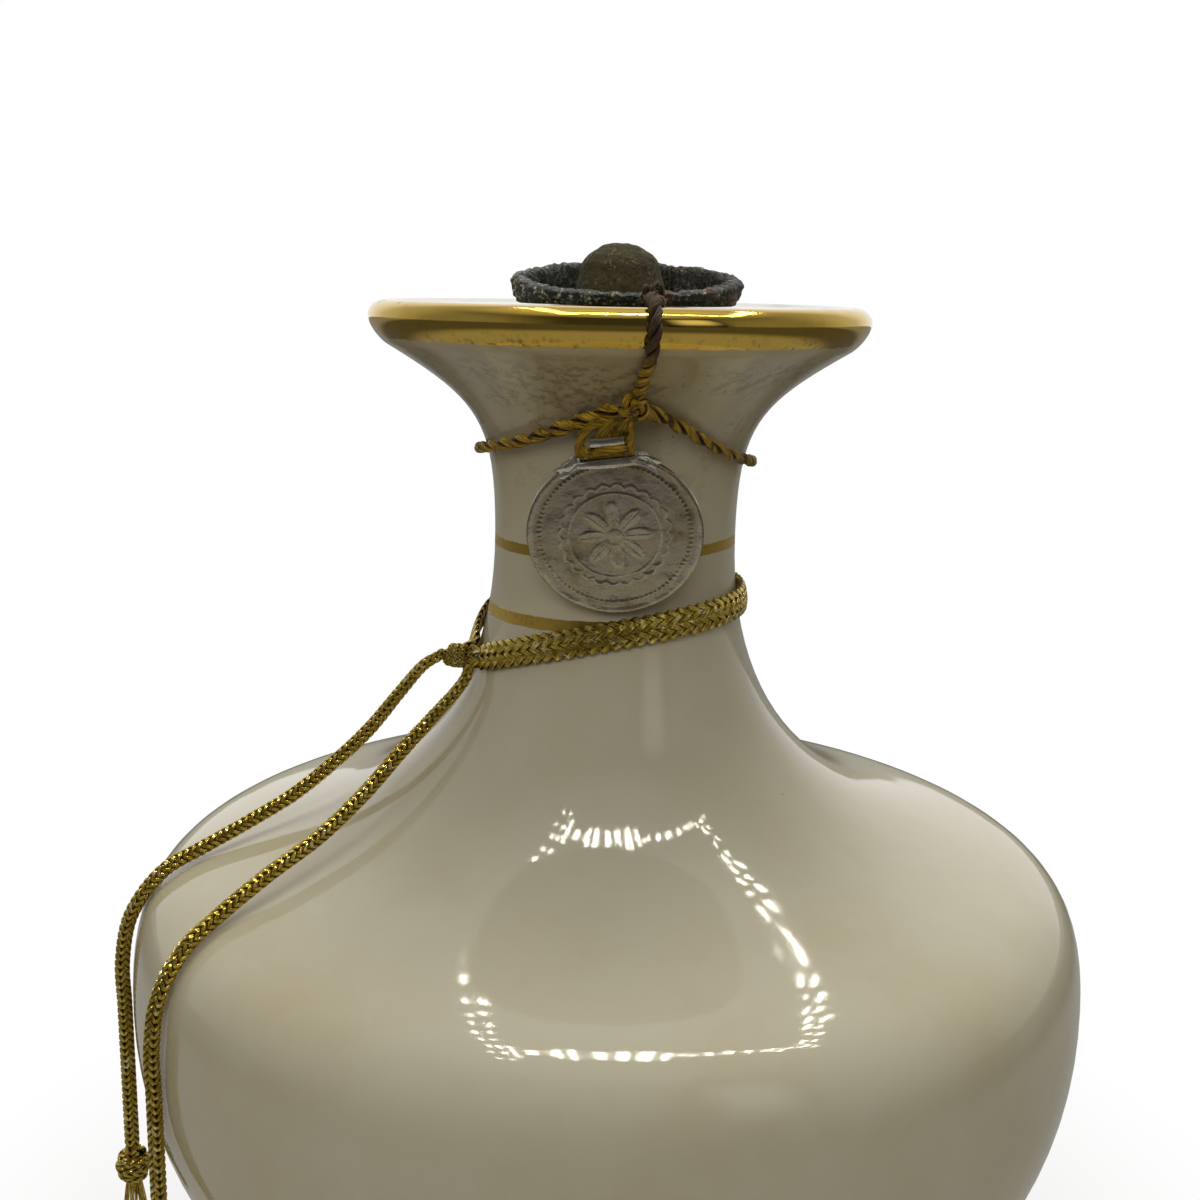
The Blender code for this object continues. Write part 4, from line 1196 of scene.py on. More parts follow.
class BottleCup(bpy.types.Operator):
    """Models the opened foil cup: a pleated wall under a thick, crusty rolled edge"""

    bl_idname = "bottle.cup"
    bl_label = "Foil cup"

    radius: length_property("Radius", "Radius at the edge", 0.0184)
    foot_radius: length_property("Foot radius", "Radius at the floor", 0.0177)
    height: length_property("Height", "Height of the wall", 0.0044)
    wall: length_property("Wall", "Thickness of the rolled wall", 0.0027)
    floor: length_property("Floor", "Thickness of the floor", 0.0008)
    shift: length_property("Shift", "How far it sits to the right", 0.0010)
    tilt: bpy.props.FloatProperty(
        name="Tilt", description="Rise of the edge per length backwards", default=0.145
    )

    def execute(self, context):
        pleats = context.scene.bottle_sizes.pleats
        hole = MOUTH_RADIUS + CLEARANCE
        inner_foot = self.foot_radius - self.wall
        inner_top = self.radius - self.wall
        rise = self.height
        points = [
            (hole, 0),
            (self.foot_radius - self.floor, 0),
            (self.foot_radius - self.floor / 4, self.floor / 4),
            (self.foot_radius, self.floor),
        ]
        wall_shares = np.linspace(0.25, 0.66, 5)
        spread = self.radius - self.foot_radius
        points += [(self.foot_radius + spread * s**0.5, rise * s) for s in wall_shares]
        middle = self.radius - self.wall / 2
        points += [
            (middle + self.wall / 2 * math.cos(a), rise - self.wall * 0.36 + self.wall * 0.36 * math.sin(a))
            for a in np.radians(np.arange(0, 181, 20))
        ]
        points += [(inner_foot + (inner_top - inner_foot) * s, rise * s) for s in wall_shares[::-1]]
        points += [(r, self.floor) for r in (inner_foot - self.floor / 2, (inner_foot + hole) / 2, hole)]
        cup = lathe(corners(points), pleats * 8, closed=True)
        bed = inner_foot - self.floor
        for vertex in cup.data.vertices:
            radius = math.hypot(vertex.co.x, vertex.co.y)
            azimuth = math.atan2(vertex.co.y, vertex.co.x)
            share = max(0.0, (vertex.co.z - self.floor) / (rise - self.floor))
            if radius < bed:
                vertex.co.x -= self.shift * min(1, (bed - radius) / (bed - hole))
                vertex.co.z += wander(vertex.co, 700, 0.00005)
                continue
            irregular = wander(Vector((math.cos(azimuth), math.sin(azimuth), 0)), 3.1, 1.6)
            wave = math.cos(pleats * azimuth + irregular)
            fold = 1 - abs(wave) ** 0.6 * 2
            edge = min(1, share * 1.2) * math.cos(CUP_CORNERS * azimuth) * 0.00025
            depth = 0.00018 if radius > inner_top + self.wall / 3 else 0.00045
            lump = wander(vertex.co, 420, 0.00034) * (0.4 + share) + wander(vertex.co, 1300, 0.00022)
            reach = radius + edge + fold * depth * (0.5 + 0.5 * share) + lump
            vertex.co.x *= reach / radius
            vertex.co.y *= reach / radius
            crest = wander(Vector((math.cos(azimuth), math.sin(azimuth), 0.5)), 9, 0.00025) * share
            vertex.co.z += share * self.tilt * vertex.co.y + crest + wander(vertex.co, 900, 0.00030) * share
        cup.location = (self.shift, 0, HEIGHT - TOP_RECESS + CLEARANCE)
        foil = finish_named("tarnished_foil")
        seat(cup, "foil_cup", "bottle", foil, ["capsule_cup"], angle=70)
        return {"FINISHED"}


def riser_line(spacing):
    """The twine's line from the top knot over the rim to the front knot, with outward directions."""
    low, high = (np.array(corner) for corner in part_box("twine_top_knot"))
    knot = (low + high) / 2
    stand_off = CLEARANCE + 0.0008
    start_azimuth = math.atan2(knot[0], -knot[1])
    start_radius = math.hypot(knot[0], knot[1]) + 0.0015
    end_drop = FRONT_KNOT_DROP - FRONT_KNOT_HALF_HEIGHT / 2
    rim_azimuth = math.radians(RISER_RIM_AZIMUTH)
    knot_azimuth = math.radians(FRONT_KNOT_AZIMUTH)
    over = OUTLINE[OUTLINE[:, 1] < end_drop]
    last = (np.interp(end_drop, OUTLINE[:, 1], OUTLINE[:, 0]), end_drop)
    over = np.vstack((over, last))
    flat = np.linspace(start_radius, RECESS_RADIUS, 5)
    top = np.stack((flat, np.full(len(flat), TOP_RECESS)), axis=1)
    profile = np.vstack((top, over))
    along = np.gradient(profile, axis=0)
    square = unit(np.stack((along[:, 1], -along[:, 0]), axis=1))
    profile = profile + stand_off * square
    places = []
    outs = []
    for i, (radius, drop) in enumerate(profile):
        if i < len(flat):
            share = (radius - start_radius) / (OUTLINE_STATIONS[1][0] - start_radius)
            azimuth = start_azimuth + (rim_azimuth - start_azimuth) * share
        else:
            azimuth = rim_azimuth + (knot_azimuth - rim_azimuth) * 0.45 * max(0.0, drop / end_drop) ** 2
        places.append((radius * math.sin(azimuth), -radius * math.cos(azimuth), HEIGHT - drop))
        outs.append((square[i][0] * math.sin(azimuth), -square[i][0] * math.cos(azimuth), -square[i][1]))
    smooth = smooth_path(places, spacing)
    even, _ = even_path(smooth, spacing)
    return even, carried_normals(even, outs[0])


def knotted(centre, half, thickness, pitch, spin=0.0, lean=0.0):
    """A pulled overhand knot of laid strands in a rounded space, which faces -Y before it leans."""
    t = np.linspace(0, math.tau, 240)
    reach = (np.array(half) - thickness) / (3.0, 1.0, 3.0)
    across = np.sin(t) + 2 * np.sin(2 * t)
    up = 2 * np.cos(2 * t) - np.cos(t)
    turned = (across * math.cos(spin) - up * math.sin(spin), across * math.sin(spin) + up * math.cos(spin))
    line = np.stack((turned[0], -np.sin(3 * t), turned[1]), axis=1) * reach
    turn = np.array(Matrix.Rotation(lean, 3, "X"))
    even, _ = even_path(np.array(centre) + line @ turn.T, thickness / 3)
    return laid_strands(even, carried_normals(even, (0.1, -1, 0.2)), thickness, pitch)


class BottleTwine(bpy.types.Operator):
    """Models the twine: the frayed top knot, the riser, the front knot and the neck loop"""

    bl_idname = "bottle.twine"
    bl_label = "Twine"

    def execute(self, context):
        sizes = context.scene.bottle_sizes
        radius = sizes.twine_diameter / 2
        amber = finish_named("twine")
        dark = finish_named("twine_dark")
        pitch = sizes.twine_pitch
        spacing = radius / 2

        places, normals = riser_line(spacing)
        strands = laid_strands(places, normals, radius * 1.15, pitch * 0.62)
        strands += stray_fibres(places, radius, 26, 0.0010, 11)
        seat_strands("twine_over_rim", strands, "bottle", "twine", dark, ["twine_riser"])

        places, lengths, outs = round_neck(LOOP_STATIONS, CLEARANCE + radius, spacing)
        right = np.clip(1 - lengths / 0.022, 0, 1)
        left = np.clip(1 - (lengths[-1] - lengths) / 0.026, 0, 1)
        swell = radius * (1.06 + 0.26 * right + 0.48 * left)
        places = places + outs * (swell - radius).clip(0)[:, None]
        strands = laid_strands(places, outs, swell, pitch)
        strands += stray_fibres(places, radius, 60, 0.0008, 12)
        seat_strands("twine_round_neck", strands, "bottle", "twine", amber, ["twine_neck_loop"])

        low, high = (np.array(corner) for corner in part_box("twine_front_knot"))
        middle = (low + high) / 2
        half = (high - low) / 2
        strands = knotted(middle, half * (1.0, 1.1, 1.25), radius * 0.92, pitch * 0.8, 0.15, -0.35)
        bends = ((0.0020, -0.0004, 0.0016), (0.0002, -0.0014, 0.0002), (-0.0016, -0.0006, -0.0018))
        line, _ = even_path(smooth_path([middle + bend for bend in bends], spacing), spacing)
        strands += laid_strands(line, carried_normals(line, (0, -1, 0)), radius * 0.8, pitch)
        strands += stray_fibres(strands[0][0], radius * 0.4, 30, 0.0010, 13)
        seat_strands("twine_knot", strands, "bottle", "twine", amber, ["twine_front_knot"])

        low, high = (np.array(corner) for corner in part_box("twine_top_knot"))
        middle = (low + high) / 2
        half = (high - low) / 2
        strands = knotted(middle, half * 0.95, radius * 0.56, pitch * 0.6, 0.6, -0.6)
        higher = middle + (0, 0, 0.0002)
        lower = middle - (0, 0, 0.0003)
        strands += knotted(higher, half * (0.9, 0.9, 1.05), radius * 0.48, pitch * 0.6, 2.0, 0.9)
        strands += knotted(lower, half * (0.8, 1.0, 0.7), radius * 0.50, pitch * 0.5, 3.6, 0.1)
        strands += stray_fibres(strands[0][0], radius * 0.4, 120, 0.0012, 22)
        seat_strands("twine_frayed_knot", strands, "bottle", "twine", dark, ["twine_top_knot"])
        return {"FINISHED"}


def seal_matrix():
    """The seal's own frame, whose +Z looks out of its face and whose +Y is up its face."""
    turn = Matrix.Rotation(math.radians(SEAL_LEAN), 4, "X") @ Matrix.Rotation(math.radians(SEAL_ROLL), 4, "Y")
    return Matrix.Translation(SEAL_CENTRE) @ turn


FACING = Matrix.Rotation(math.radians(90), 4, "X")


def relief(x, y, radius, beads):
    """How high the stamped face stands above its field, in metres, at a place on it."""
    reach = math.hypot(x, y)
    azimuth = math.atan2(y, x)
    rim = radius - RIM_INSET
    height = 0.0
    if reach > rim - RIM_RUN:
        share = min(1, (reach - rim + RIM_RUN) / (RIM_INSET + RIM_RUN))
        height += RIM_HEIGHT * math.sin(math.pi * share**1.6)
    turn = azimuth * beads / math.tau
    offset = (turn - round(turn)) * math.tau / beads * BEAD_RING
    ball = 1 - (offset**2 + (reach - BEAD_RING) ** 2) / BEAD_RADIUS**2
    if ball > 0:
        height += BEAD_HEIGHT * math.sqrt(ball)
    scallop = SCALLOP_RADIUS + SCALLOP_REACH * abs(math.sin(azimuth * 12))
    for middle, half_width in ((scallop, SCALLOP_HALF_WIDTH), (RING_RADIUS, RING_HALF_WIDTH)):
        off_line = abs(reach - middle)
        if off_line < half_width:
            height += LINE_HEIGHT * (1 - (off_line / half_width) ** 2)
    petal = abs(math.cos(azimuth * 4)) ** 0.7
    edge = PETAL_START + PETAL_REACH * petal
    if 0.0013 < reach < edge:
        height += PETAL_HEIGHT * min(1, (edge - reach) / PETAL_SLOPE) * (0.6 + 0.4 * petal)
    vein = abs(math.sin(azimuth * 4)) * reach
    if 0.0018 < reach < 0.0052 and abs(math.cos(azimuth * 4)) > 0.6 and vein < 0.0004:
        height -= VEIN_DEPTH
    if reach < BOSS_RADIUS:
        height += BOSS_HEIGHT * math.sqrt(max(0.0, 1 - (reach / BOSS_RADIUS) ** 2))
    return height


class BottleSeal(bpy.types.Operator):
    """Models the stamped seal, its backing, the bar and the strands that hang it"""

    bl_idname = "bottle.seal"
    bl_label = "Seal"

    radius: length_property("Radius", "Radius of the stamped disc", 0.0131)
    thickness: length_property("Thickness", "Thickness of the front sheet", 0.0007)

    def execute(self, context):
        sizes = context.scene.bottle_sizes
        metal = finish_named("stamped_aluminium")
        half_gap = CLEARANCE / 2
        face = half_gap + self.thickness
        radii = np.linspace(0, self.radius, 72)
        points = [(r, face) for r in radii[:-1]]
        points += [(self.radius, face - 0.0001), (self.radius, half_gap), (0, half_gap)]
        front = lathe(corners(points), 360)
        hollow = front.data.attributes.new("hollow", "FLOAT", "POINT")
        for vertex in front.data.vertices:
            if vertex.co.z < face - 0.00015:
                continue
            lift = relief(vertex.co.x, vertex.co.y, self.radius, sizes.beads)
            dent = wander(vertex.co, 190, 0.00016) + wander(vertex.co, 520, 0.00009)
            worn = 0.75 + wander(vertex.co, 230, 0.45)
            vertex.co.z += lift * worn * 0.75 + dent
            hollow.data[vertex.index].value = min(1.0, max(0.0, 0.35 - lift * 2600))
        self.cut_flat(front)
        hollow = front.data.attributes["hollow"]
        for vertex in front.data.vertices:
            if vertex.co.y > SEAL_FLAT - 0.0002:
                hollow.data[vertex.index].value = 0
        front.matrix_world = seal_matrix() @ FACING
        seat(front, "seal_face", "seal", metal, ["seal_front"], angle=60)

        back_radius = self.radius - 0.0004
        back = lathe(
            corners(
                [
                    (0, -half_gap),
                    (back_radius, -half_gap),
                    (back_radius, -half_gap - 0.00025),
                    (back_radius - 0.0008, -half_gap - 0.0005),
                    (back_radius - 0.0022, -half_gap - 0.00042),
                    (0, -half_gap - 0.0005),
                ]
            ),
            160,
        )
        self.cut_flat(back)
        back.matrix_world = seal_matrix() @ FACING
        seat(back, "seal_backing", "seal", metal, ["seal_back"], angle=50)
        across = math.sqrt(self.radius**2 - SEAL_FLAT**2)
        slope = math.degrees(math.asin(across / self.radius)) * 1.25
        self.ear("seal_lug_left", (-across - 0.0003, SEAL_FLAT - 0.0005), LUG_SIZE, slope)
        self.ear("seal_lug_right", (across + 0.0003, SEAL_FLAT - 0.0005), LUG_SIZE, -slope)
        self.ear("seal_fold", (0.0, SEAL_FLAT - 0.0003), FOLD_SIZE, 0.0)
        self.hanger(sizes)
        return {"FINISHED"}

    def cut_flat(self, obj):
        """Cuts the disc's top off flat and closes the cut."""
        with editing(obj):
            bpy.ops.mesh.bisect(
                plane_co=(0, SEAL_FLAT, 0), plane_no=(0, 1, 0), use_fill=True, clear_outer=True
            )
        point_outwards(obj)

    def ear(self, name, place, size, turn):
        """A small torn lug of the seal's rim, or the fold between two, turned by degrees in its plane."""
        deselect()
        bpy.ops.mesh.primitive_cube_add(size=1)
        ear = bpy.context.object
        with editing(ear):
            bpy.ops.mesh.subdivide(number_cuts=4)
        shift = Vector((place[0] * 900, 0, 0))
        for vertex in ear.data.vertices:
            co = vertex.co
            co.z *= 1 - 0.3 * (co.y + 0.5)
            co += Vector([noise.noise(co * 3 + shift + Vector((0, k * 9, 0))) * 0.30 for k in range(3)])
        ear.scale = size
        ear.rotation_euler = (0, 0, math.radians(turn))
        ear.location = (*place, CLEARANCE / 2 + self.thickness / 2)
        bpy.ops.object.transform_apply(location=True, rotation=True, scale=True)
        smooth = ear.modifiers.new("smooth", "SUBSURF")
        smooth.levels = 2
        smooth.render_levels = 2
        apply_modifiers(ear)
        ear.matrix_world = seal_matrix() @ FACING
        # The lugs and the fold take the cleaner, brighter metal finish: a lit copy of the seal's metal that
        # paints their highlight
        seat(ear, name, "seal", finish_named("bright_aluminium"))

    def hanger(self, sizes):
        """The rolled bar, the strand across below it, and the two strands up to the front knot."""
        strand = sizes.hanger_diameter / 2
        matrix = seal_matrix()
        cross_height = SEAL_FLAT + CLEARANCE + strand
        bar_height = cross_height + strand + CLEARANCE + BAR_RADIUS
        low, high = (np.array(corner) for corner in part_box("seal_bar"))
        middle = (low + high) / 2 + (0.0004, -0.0001, 0.0001)
        deselect()
        bpy.ops.mesh.primitive_cylinder_add(
            vertices=40, radius=BAR_RADIUS * 1.02, depth=BAR_LENGTH * 1.12, end_fill_type="NOTHING"
        )
        bar = bpy.context.object
        bpy.ops.object.mode_set(mode="EDIT")
        bpy.ops.mesh.select_all(action="DESELECT")
        bpy.ops.object.mode_set(mode="OBJECT")
        for face in bar.data.polygons:
            face.select = face.center.y > 0 and abs(face.center.x) < 0.00006
        bpy.ops.object.mode_set(mode="EDIT")
        bpy.ops.mesh.delete(type="ONLY_FACE")
        bpy.ops.mesh.select_all(action="SELECT")
        bpy.ops.mesh.subdivide(number_cuts=6)
        bpy.ops.object.mode_set(mode="OBJECT")
        for vertex in bar.data.vertices:
            vertex.co.x *= 1 + wander(vertex.co, 900, 0.07)
            vertex.co.y *= 1 + 0.07 * noise.noise(vertex.co * 900 + Vector((3, 3, 3)))
        wall = bar.modifiers.new("wall", "SOLIDIFY")
        wall.thickness = 0.00020
        wall.offset = 0
        apply_modifiers(bar)
        sideways = Matrix.Rotation(math.radians(90), 4, "Y")
        bar.matrix_world = Matrix.Translation(middle) @ matrix.to_3x3().to_4x4() @ sideways
        seat(bar, "seal_tube", "seal", finish_named("bright_aluminium"), ["seal_bar"])

        amber = finish_named("twine")
        hinge = Vector(frame_joint("seal_swing")["pos_m"])
        feet = [share * self.radius for share in STRAND_FOOT_SHARES]
        tops = [share * BAR_LENGTH for share in STRAND_TOP_SHARES]
        behind = Vector((0, 0.0004, 0))
        for side, foot, top in zip(("left", "right"), feet, tops):
            way = 0.2 if foot > 0 else -1
            start = Vector((top, 0, 0.0008)) + hinge
            end = matrix @ Vector((foot, 0, SEAL_FLAT + CLEARANCE))
            beside = matrix @ Vector((foot, 0, bar_height))
            bow = (start + beside) / 2 + Vector((way * STRAND_BOW, 0, STRAND_BOW))
            strands = self.bundle([start, bow, beside, end], strand, 5, 0.9)
            if side == "left":
                for k in range(8):
                    fan = matrix @ Vector((-0.0021 + 0.00066 * k, 0, bar_height - 0.0002))
                    root = start + Vector((0.00038 * (k - 2), -0.0006, 0.0003))
                    between = (root + fan) / 2 + Vector((0, -0.0006, 0.0002))
                    strands += self.bundle([root, between, fan + behind], strand * 0.52, 3, 0.35)
            seat_strands(f"strand_{side}", strands, "seal", "twine", amber, [f"twine_hanger_{side}"])
        inset = strand * 1.2
        ends = [matrix @ Vector((x, 0, cross_height)) for x in (feet[0] + inset, feet[1] - inset)]
        sag = (ends[0] + ends[1]) / 2 + Vector((0, -0.0001, -0.0001))
        strands = self.bundle([ends[0], sag, ends[1]], strand, 5, 0.5)
        under = [
            (-0.0034, bar_height),
            (-0.0029, cross_height + 0.0005),
            (0.0, cross_height + 0.0006),
            (0.0031, bar_height - 0.0007),
        ]
        crescent = [matrix @ Vector((x, -0.0005, height)) for x, height in under]
        strands += self.bundle(crescent, strand * 1.05, 5, 0.4)
        seat_strands("strand_across", strands, "seal", "twine", amber, ["twine_hanger_cross"])

    def bundle(self, route, radius, count, turns):
        """Nearly straight fibres side by side along a route, with a few stray ones."""
        line, along = even_path(smooth_path(route, radius / 2), radius / 2)
        strands = laid_strands(line, carried_normals(line, (0, -1, 0)), radius, along[-1] / turns, count)
        return strands + stray_fibres(line, radius, 3, 0.0009, count + len(line))


def frame_joint(name):
    return next(joint for joint in frame["joints"] if joint["name"] == name)


class BottleBraid(bpy.types.Operator):
    """Models the flat gold braid round the neck and the knot its ends go into"""

    bl_idname = "bottle.braid"
    bl_label = "Neck braid and knot"

    def execute(self, context):
        sizes = context.scene.bottle_sizes
        gold = finish_named("gold_braid")
        half_width = sizes.braid_width / 2
        half_thickness = sizes.braid_thickness / 2
        low, high = (np.array(corner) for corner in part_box("cord_knot"))
        centre = (low + high) / 2
        spacing = sizes.braid_pitch / 40
        places, lengths, outs = round_neck(BRAID_STATIONS, CLEARANCE + half_thickness, spacing)
        line = np.vstack(([centre + (0.0004, -0.0004, -0.0001)], places, [centre + (0.0006, 0.0010, 0.0004)]))
        even, along = even_path(smooth_path(line, spacing), spacing)
        lead = np.linalg.norm(line[1] - line[0])
        outs = unit(resampled(along - lead, lengths, outs))
        gather = np.clip(np.minimum(along, along[-1] - along) / 0.0075, 0, 1)
        gather = gather * gather * (3 - 2 * gather)
        wide = half_width * (0.86 + 0.14 * gather)
        thick = half_thickness * (1.25 - 0.25 * gather)
        strands = braid_strands(even, outs, wide, thick, sizes.braid_pitch)
        wrap = ["cord_neck_wrap"]
        seat_strands("braid_round_neck", strands, "bottle", "gold_braid", gold, wrap, 6, TILE_ROUNDNESS)

        axis = np.array((math.cos(KNOT_YAW), math.sin(KNOT_YAW), 0))
        side = np.array((-math.sin(KNOT_YAW), math.cos(KNOT_YAW), 0))
        up = np.array((0, 0, 1))
        flat = 0.00052
        winding = (high[2] - low[2]) / 2 - flat - 0.00005
        t = np.linspace(0, 1, 200)
        angle = math.tau * KNOT_COIL_TURNS * t - 0.6
        swell = (winding * (0.88 + 0.12 * np.sin(math.pi * t)))[:, None]
        outwards = np.outer(np.cos(angle), side) + np.outer(np.sin(angle), up)
        line = centre + np.outer((t - 0.5) * 0.0029, axis) + outwards * swell
        even, _ = even_path(line, COIL_SPACING)
        turned = resampled(np.linspace(0, 1, len(even)), t, outwards)
        coil = braid_strands(even, unit(turned), 0.00066, flat, 0.0046)
        core = np.array([centre + axis * s for s in np.linspace(-0.0029, 0.0027, 40)])
        coil += braid_strands(core, carried_normals(core, up), 0.0010, 0.0009, 0.0070)
        seat_strands("braid_knot", coil, "bottle", "gold_braid", gold, ["cord_knot"], 6)
        return {"FINISHED"}


class BottleTails(bpy.types.Operator):
    """Models the braid's two free tails, each with the knot and tuft at its end"""

    bl_idname = "bottle.tails"
    bl_label = "Braid tails"

    def execute(self, context):
        sizes = context.scene.bottle_sizes
        gold = finish_named("gold_braid")
        radius = sizes.cord_diameter / 2
        for number, (name, route) in enumerate(TAIL_ROUTES.items(), 1):
            knot = self.tassel(number, gold)
            line = smooth_path((TAIL_LEADS[name], *route), 0.001)
            pitch = sizes.braid_pitch * TAIL_PITCH_SHARE
            even, along = even_path(line, pitch / 34)
            normals = carried_normals(even, (0, -0.6, 0.8))
            drawn = radius * (0.70 + 0.24 * np.clip(along / 0.020, 0, 1))
            strands = braid_strands(even, normals, drawn, drawn, pitch)
            piece = f"tail_{number}"
            tail = seat_strands(piece, strands, "bottle", "gold_braid", gold, [name], 6, TILE_ROUNDNESS)
        return {"FINISHED"}

    def tassel(self, number, gold):
        """The wound knot at a tail's end and the loose threads below it."""
        chance = random.Random(40 + number)
        low, high = (np.array(corner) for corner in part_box(f"cord_end_knot_{number}"))
        middle = (low + high) / 2
        reach = (high[0] - low[0]) / 2
        knot_length = 0.0056
        t = np.linspace(0, 1, 150)
        angle = math.tau * TASSEL_COIL_TURNS * t
        winding = reach * 0.62 * (0.72 + 0.38 * np.sin(math.pi * t))
        line = np.stack(
            (
                middle[0] + winding * np.cos(angle),
                middle[1] + winding * np.sin(angle),
                high[2] - 0.0008 - (knot_length - 0.0014) * t,
            ),
            axis=1,
        )
        even, _ = even_path(line, COIL_SPACING)
        strands = braid_strands(even, carried_normals(even, (1, 0, 0)), 0.0009, 0.0009, 0.0075, 6, 12)
        depths = np.linspace(0, knot_length + 0.0006, 60)
        core = np.array([(middle[0], middle[1], high[2] + 0.0006 - depth) for depth in depths])
        strands += braid_strands(core, carried_normals(core, (1, 0, 0)), 0.0012, 0.0012, 0.0075, 6, 12)
        top = high[2] - knot_length + 0.0006
        for _ in range(TUFT_THREADS):
            azimuth = chance.uniform(0, math.tau)
            start = 0.0010 * math.sqrt(chance.random())
            spread = start / 0.0010 * 0.0021 + chance.uniform(-0.0002, 0.0002)
            drop = (top - low[2]) * chance.uniform(0.82, 1)
            sway = chance.uniform(-0.5, 0.5)
            fall = np.linspace(0, 1, 9)
            out = start + (spread - start) * fall**0.8
            turn = azimuth + sway * fall
            thread = np.stack(
                (middle[0] + out * np.cos(turn), middle[1] + out * np.sin(turn), top - drop * fall), axis=1
            )
            strands.append(strand_of(thread, carried_normals(thread, (1, 0, 0)), 0.00011, 0.00008))
        piece = f"tassel_{number}"
        replaced = [f"cord_end_knot_{number}"]
        look = (6, TILE_ROUNDNESS, TUFT_THREADS)
        return seat_strands(piece, strands, "bottle", "gold_braid", gold, replaced, *look)


def bare_material(name):
    """A material with an empty tree, and the tree."""
    material = bpy.data.materials.new(name)
    material.use_nodes = True
    material.node_tree.nodes.clear()
    return material, material.node_tree


def show_only_in_mirrors(obj):
    obj.visible_camera = False
    obj.visible_diffuse = False
    obj.visible_shadow = False


